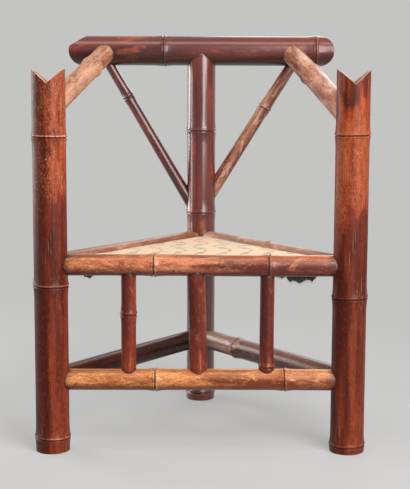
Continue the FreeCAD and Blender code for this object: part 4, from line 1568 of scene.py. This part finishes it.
@dataclass
class DustCover:
    """The thin cloth under the seat, sagging a little and torn along its front edge."""

    height: float = 0.3791
    sag: float = 0.0065
    thickness: float = 0.0005
    corner_radius: float = 0.008
    reach: float = 0.124
    rings: int = 17
    hem_steps: int = 8
    seed: int = 31
    # Offset of each corner of a tear from the chair's middle and how far it hangs, in millimetres
    right_tear: Tear = ((156, 0), (160, 12), (170, 17), (178, 14), (188, 24), (196, 21), (207, 28), (222, 20),
                        (236, 24), (244, 11), (250, 0))
    left_tear: Tear = ((-248, 0), (-243, 14), (-232, 19), (-226, 13), (-219, 0))

    @staticmethod
    def drop_at(tear: Tear, offset: float) -> float:
        """Find how far a torn edge hangs.

        Args:
            tear: The corners of the tear.
            offset: A place along it, in millimetres.

        Returns:
            The drop in millimetres.
        """
        for (first, drop), (second, following) in zip(tear, tear[1:]):
            if first <= offset <= second:
                return drop + (following - drop) * (offset - first) / (second - first)
        return 0.0

    def stretched(self, phases: list[float]) -> tuple[list[Vector], list[tuple[int, ...]]]:
        """Lay the cloth between the cleats.

        Args:
            phases: Four angles that place its folds.

        Returns:
            Its points and faces.
        """
        insets = [SEAT_INSET + self.reach * step / (self.rings - 1) for step in range(self.rings)]
        rings = [triangle_ring(inset, self.height, self.corner_radius, 40, 5) for inset in insets]
        count = len(rings[0])
        places = [place for ring in rings for place in ring] + [ring_centre(rings[-1], self.height)]
        for index, place in enumerate(places):
            inset = insets[min(index // count, self.rings - 1)]
            share = max(inset - SEAT_INSET - 0.013, 0.0) / 0.111
            fold = (math.sin(place.x * 90.0 + place.y * 55.0 + phases[0])
                    + math.sin(place.x * 37.0 - place.y * 88.0 + phases[1]))
            place.z -= (self.sag * (1.0 - (1.0 - min(share, 1.0)) ** 2)
                        + 0.0006 * (fold + 1.2) * min(share * 4.0, 1.0))
        last = (self.rings - 1) * count
        faces = [face[::-1] for face in ring_faces(self.rings, count)]
        return places, faces + [(last + count, last + index, last + (index + 1) % count) for index in range(count)]

    def build(self, groups: ShaderGroups, threads: ThreadTree) -> None:
        """Make the cloth with its torn strips, and the loose threads.

        Args:
            groups: The shared shader effects.
            threads: The tree that lets threads hang.
        """
        noise = random.Random(self.seed)
        phases = [noise.uniform(0.0, 6.28) for _ in range(4)]
        places, faces = self.stretched(phases)
        hems: list[Vector] = []
        steps = self.hem_steps
        for tear in (self.right_tear, self.left_tear):
            offsets = np.arange(tear[0][0], tear[-1][0] + 0.1, 1.5)
            base = len(places)
            for offset in offsets:
                drop = max(self.drop_at(tear, float(offset)) - noise.uniform(0.0, 3.0), 0.6) * MM
                for step in range(steps + 1):
                    share = step / steps
                    wave = share * (0.0016 * math.sin(offset * 0.32 + phases[2]) + 0.0006 * noise.uniform(-1, 1))
                    places.append(Vector((offset * MM + 0.0009 * share * math.sin(offset * 0.5),
                                          FRONT_Y + SEAT_INSET + 0.0011 + abs(wave), self.height - drop * share)))
                hems.append(places[-1].copy())
            for column in range(len(offsets) - 1):
                for low in range(base + column * (steps + 1), base + column * (steps + 1) + steps):
                    faces.append((low, low + 1, low + steps + 2, low + steps + 1))
        cloth = new_piece("dust_cover_cloth", places, faces)
        finish = DustCloth().material(groups)
        clothe(cloth, finish)
        thick = cloth.modifiers.new("thick", "SOLIDIFY")
        thick.thickness = self.thickness
        thick.offset = 0.0
        finish_piece(settle(cloth), "frame", "dust_cloth", "dust_cover")
        fringe = grow(new_piece("dust_cover_threads", hems, []), threads.tree, {"Cloth": finish})
        finish_piece(fringe, "frame", "dust_cloth")


class FastenerTree:
    """The Geometry Nodes tree that drives a domed nail or tack at each point."""

    def __init__(self) -> None:
        """Build the tree."""
        board, given, result = new_group("driven fasteners", "GeometryNodeTree", {
            "Geometry": GEOMETRY, "Head Radius": 0.0024, "Dome": 0.0009, "Shank Radius": 0.001, "Length": 0.012,
            "Lean": 0.05, "Iron": MATERIAL,
        }, {"Geometry": GEOMETRY})
        ball = board.take("GeometryNodeMeshUVSphere", {"Segments": 14, "Rings": 8, "Radius": 1.0})
        size = board.combine(given["Head Radius"], given["Head Radius"], given["Dome"])
        head = board.take("GeometryNodeTransform", {"Geometry": ball, "Scale": size})
        shank = board.take("GeometryNodeMeshCone", {
            "Vertices": 8, "Side Segments": 3, "Radius Top": given["Shank Radius"] * 0.25,
            "Radius Bottom": given["Shank Radius"], "Depth": given["Length"]})
        both = board.add("GeometryNodeJoinGeometry")
        for half in (shank, head):
            board.feed(both.inputs[0], half)
        inward = board.take("GeometryNodeInputNamedAttribute", {"Name": "inward"}, data_type="FLOAT_VECTOR")
        spin = board.take("FunctionNodeRandomValue", {0: (-1.0, -1.0, -1.0), 1: (1.0, 1.0, 1.0), "Seed": 12},
                          data_type="FLOAT_VECTOR")
        leaning = board.vector("ADD", inward, board.vector("SCALE", spin, given["Lean"]))
        driven = board.take("GeometryNodeInstanceOnPoints", {
            "Points": given["Geometry"], "Instance": Value(board, both.outputs[0]),
            "Rotation": board.take("FunctionNodeAlignRotationToVector", {"Vector": leaning}, axis="Z")})
        real = board.take("GeometryNodeRealizeInstances", {"Geometry": driven})
        smooth = board.take("GeometryNodeSetShadeSmooth", {"Geometry": real})
        board.fill(result, {"Geometry": board.take("GeometryNodeSetMaterial", {
            "Geometry": smooth, "Material": given["Iron"]})})
        self.tree = board.tree


def islands_of(mesh: bpy.types.Mesh) -> list[np.ndarray]:
    """Part a mesh into the pieces that hang together.

    Args:
        mesh: The mesh, whose faces needn't share their vertices.

    Returns:
        The places of each piece's vertices.
    """
    corners = np.empty(len(mesh.vertices) * 3)
    mesh.vertices.foreach_get("co", corners)
    corners = corners.reshape(-1, 3)
    keys: dict[tuple[int, int, int], int] = {}
    merged = [keys.setdefault(tuple(np.round(point * 2e5).astype(int)), len(keys)) for point in corners]
    parent = list(range(len(keys)))

    def top(item: int) -> int:
        """The first vertex of the piece that a vertex belongs to."""
        while parent[item] != item:
            parent[item] = item = parent[parent[item]]
        return item

    for edge in mesh.edges:
        parent[top(merged[edge.vertices[0]])] = top(merged[edge.vertices[1]])
    islands: dict[int, list[np.ndarray]] = {}
    for point, item in zip(corners, merged):
        islands.setdefault(top(item), []).append(point)
    return [np.unique(np.round(np.array(island), 6), axis=0) for island in islands.values()]


def fastener_places(node: str, upright: bool) -> list[tuple[Vector, Vector]]:
    """Find where the fasteners of a node are driven.

    Args:
        node: The node that holds them.
        upright: Whether they are driven straight up.

    Returns:
        For each the middle of the underside of its head, and the direction into the work.
    """
    found = []
    for cloud in islands_of(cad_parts[node].data):
        middle = cloud.mean(axis=0)
        axis = np.array((0.0, 0.0, 1.0)) if upright else np.linalg.svd(cloud - middle)[2][0]
        along = (cloud - middle) @ axis
        radii = np.linalg.norm(cloud - middle - np.outer(along, axis), axis=1)
        if along[radii.argmax()] > 0.0:
            axis, along = -axis, -along
        widest = radii > radii.max() * 0.9
        centre = cloud[widest].mean(axis=0)
        on_axis = centre + axis * (along[widest].max() - (centre - middle) @ axis)
        found.append((Vector(on_axis), Vector(axis)))
    return sorted(found, key=lambda pair: tuple(round(value, 5) for value in pair[0]))


@dataclass(frozen=True)
class FastenerKind:
    """One kind of nail or tack."""

    node: str
    body: str
    upright: bool
    head_radius: float
    dome: float
    shank_radius: float
    length: float


@dataclass
class Fasteners:
    """Nails through the joints and cleats, and tacks through the cloths."""

    kinds: tuple[FastenerKind, ...] = (
        FastenerKind("joint_nails", "frame", False, 0.0024, 0.0010, 0.0010, 0.0118),
        FastenerKind("cleat_nails", "frame", False, 0.0028, 0.0009, 0.0011, 0.0218),
        FastenerKind("dust_cover_tacks", "frame", True, 0.0030, 0.0009, 0.0008, 0.0058),
        FastenerKind("cover_tacks", "seat", True, 0.0030, 0.0009, 0.0008, 0.0058))

    def build(self, tree: FastenerTree, iron: Material) -> None:
        """Drive every fastener, as one piece for each kind.

        Args:
            tree: The tree that drives them.
            iron: Their material.
        """
        for kind in self.kinds:
            places = fastener_places(kind.node, kind.upright)
            piece = new_piece(kind.node + "_driven", [point for point, _ in places], [])
            inward = piece.data.attributes.new("inward", "FLOAT_VECTOR", "POINT")
            inward.data.foreach_set("vector", [value for _, direction in places for value in direction])
            grow(piece, tree.tree, {"Head Radius": kind.head_radius, "Dome": kind.dome,
                                    "Shank Radius": kind.shank_radius, "Length": kind.length, "Iron": iron})
            finish_piece(piece, kind.body, "iron", kind.node)


@dataclass
class HiddenWood:
    """Dowels, cleats and the seat board, whose solids stay as they are."""

    finishes: tuple[tuple[SoftwoodFinish, tuple[str, ...]], ...] = (
        (SoftwoodFinish("turned_dowel_wood", (0.56, 0.39, 0.23), (0.36, 0.22, 0.12), (0.5, 0.5, 0.5)),
         ("seat_rail_dowels", "stretcher_dowels", "arm_dowels", "brace_dowels", "spindle_dowels", "crest_dowel")),
        (SoftwoodFinish("front_cleat_wood", (0.36, 0.23, 0.13), (0.2, 0.115, 0.062), (0.05, 1.0, 1.0)),
         ("front_cleat",)),
        (SoftwoodFinish("side_cleat_wood", (0.34, 0.215, 0.12), (0.19, 0.11, 0.06), (0.5, 0.1, 1.0)),
         ("left_cleat", "right_cleat")),
        (SoftwoodFinish("seat_board_wood", (0.42, 0.28, 0.165), (0.25, 0.15, 0.08), (0.04, 1.0, 1.0)),
         ("seat_board",)))

    def dress(self, groups: ShaderGroups) -> None:
        """Give each node its wood.

        Args:
            groups: The shared shader effects.
        """
        for finish, nodes in self.finishes:
            wood = finish.material(groups)
            for node in nodes:
                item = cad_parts[node]
                if not item.material_slots:
                    item.data.materials.append(wood)
                for place in item.material_slots:
                    place.material = wood
                LOG.info("%s keeps its solid, in %s", node, wood.name)


@dataclass(frozen=True)
class Softbox:
    """A soft lamp: where it hangs, what it faces, its width and height, and its power in watts."""

    name: str
    place: Triple
    target: Triple
    size: tuple[float, float]
    watts: float

    def hang(self) -> None:
        """Put the lamp into the scene."""
        light = bpy.data.lights.new(self.name, "AREA")
        light.shape = "RECTANGLE"
        light.size, light.size_y = self.size
        light.energy = self.watts
        holder = bpy.data.objects.new(self.name, light)
        holder.location = self.place
        holder.rotation_euler = (Vector(self.target) - Vector(self.place)).to_track_quat("-Z", "Y").to_euler()
        bpy.context.scene.collection.objects.link(holder)


@dataclass
class Studio:
    """Plain pale floor, soft lights and the camera of the photograph."""

    camera_place: Triple = (0.00555, -2.68245, 0.7741)
    pitch: float = 0.1352
    yaw: float = -0.0015
    roll: float = 0.0037
    focal_pixels: float = 1206.7
    frame_height: float = 489.0
    sensor: float = 36.0
    backdrop: tuple[float, float, float, float] = (0.86, 0.86, 0.85, 1.0)
    ambient: float = 0.16
    lift: float = 0.48
    floor_glow: float = 0.36
    floor_reach: float = 14.0
    floor_corners: int = 64
    lamps: tuple[Softbox, ...] = (
        Softbox("key_softbox", (1.25, -2.05, 1.5), (0.0, 0.1, 0.5), (1.6, 2.3), 86.0),
        Softbox("high_softbox", (0.0, -0.9, 3.0), (0.0, 0.0, 0.4), (2.2, 0.8), 20.0),
        Softbox("left_strip", (-2.4, -0.05, 0.9), (0.0, 0.1, 0.5), (0.4, 1.7), 14.0),
        Softbox("rear_left_softbox", (-2.3, 1.25, 1.0), (0.0, 0.1, 0.4), (1.1, 1.6), 32.0),
        Softbox("back_softbox", (0.9, 2.7, 1.9), (0.0, 0.0, 0.5), (1.8, 1.4), 20.0))

    def build(self) -> None:
        """Set the stage round the chair."""
        self.floor()
        self.world()
        for lamp in self.lamps:
            lamp.hang()
        self.camera()
        bpy.context.scene.view_settings.view_transform = "Standard"

    def floor(self) -> None:
        """Lay a wide pale floor, whose far part shows as evenly as the surround."""
        count = self.floor_corners
        turns = [2 * math.pi * step / count for step in range(count)]
        rim = [(self.floor_reach * math.cos(turn), self.floor_reach * math.sin(turn), 0.0) for turn in turns]
        ground = new_piece("pale_floor", [ZERO] + rim,
                           [(0, 1 + step, 1 + (step + 1) % count) for step in range(count)])
        made, board, shader = new_material("pale_floor")
        place = board.object_place()
        board.fill(shader, {
            "Base Color": board.mix(board.noise(place, 1.5, 2.0), (0.28, 0.278, 0.273), (0.3, 0.298, 0.293)),
            "Roughness": 0.95, "Specular IOR Level": 0.1, "Emission Color": self.backdrop,
            "Emission Strength": self.seen(board) * self.floor_glow})
        away = board.fade(board.vector("LENGTH", place, ZERO), 0.9, 2.7)
        plain = board.take("ShaderNodeEmission", {"Color": self.backdrop, "Strength": self.strength(board)})
        both = board.take("ShaderNodeMixShader", {0: away, 1: Value(board, shader.outputs[0]), 2: plain})
        finish = next(node for node in made.node_tree.nodes if node.type == "OUTPUT_MATERIAL")
        board.fill(finish, {"Surface": both})
        ground.data.materials.append(made)

    @staticmethod
    def seen(board: Bench) -> Value:
        """Tell the rays that show the surround itself, straight or in a reflection, from those that light.

        Args:
            board: The bench of a material or of the surround.

        Returns:
            1 for the rays that show it, and else 0.
        """
        rays = board.add("ShaderNodeLightPath").outputs
        camera, glossy, through = (Value(board, rays[name]) for name in (
            "Is Camera Ray", "Is Glossy Ray", "Is Transmission Ray"))
        return board.math("MAXIMUM", camera, board.math("MAXIMUM", glossy, through))

    def strength(self, board: Bench) -> Value:
        """Strength of the surround for each kind of ray."""
        return self.seen(board) * self.lift + self.ambient

    def world(self) -> None:
        """Put an even pale surround round the stage."""
        world = bpy.data.worlds.new("pale_surround")
        bpy.context.scene.world = world
        world.use_nodes = True
        board = Bench(world.node_tree)
        board.fill(world.node_tree.nodes["Background"], {"Color": self.backdrop, "Strength": self.strength(board)})

    def camera(self) -> None:
        """Set the camera up, as worked out from the posts and rails in the photograph."""
        lens = bpy.data.cameras.new("camera")
        lens.sensor_width = self.sensor
        lens.lens = self.focal_pixels * self.sensor / self.frame_height
        lens.clip_end = 60.0
        holder = bpy.data.objects.new("camera", lens)
        yaw, pitch, roll = (Euler(turn).to_matrix() for turn in (
            (0.0, 0.0, self.yaw), (math.pi / 2 - self.pitch, 0.0, 0.0), (0.0, 0.0, self.roll)))
        holder.matrix_world = Matrix.Translation(self.camera_place) @ (yaw @ pitch @ roll).to_4x4()
        bpy.context.scene.collection.objects.link(holder)
        bpy.context.scene.camera = holder


def main() -> None:
    """Build the chair's looks in order and report each piece."""
    logging.basicConfig(level=logging.INFO, format="%(message)s")
    groups, cane_tree = ShaderGroups(), CaneTree()
    raw = RawBambooFinish().material(groups)
    posts = Uprights()
    seat_rails = Rails(posts, "seat_rail", SEAT_RAIL_HEIGHT, 0.0220, (0.214, 0.452), (0.264,), 51)
    stretchers = Rails(posts, "stretcher", STRETCHER_HEIGHT, 0.0223, (0.217, 0.486), (0.374,), 61)
    for canes in (posts, Arms(posts), seat_rails, stretchers, Spindles(seat_rails.front, stretchers.front)):
        canes.build(cane_tree, groups, raw)
    SeatPad().build(groups)
    DustCover().build(groups, ThreadTree())
    Fasteners().build(FastenerTree(), IronFinish().material())
    HiddenWood().dress(groups)
    Studio().build()


if __name__ == "__main__":
    main()
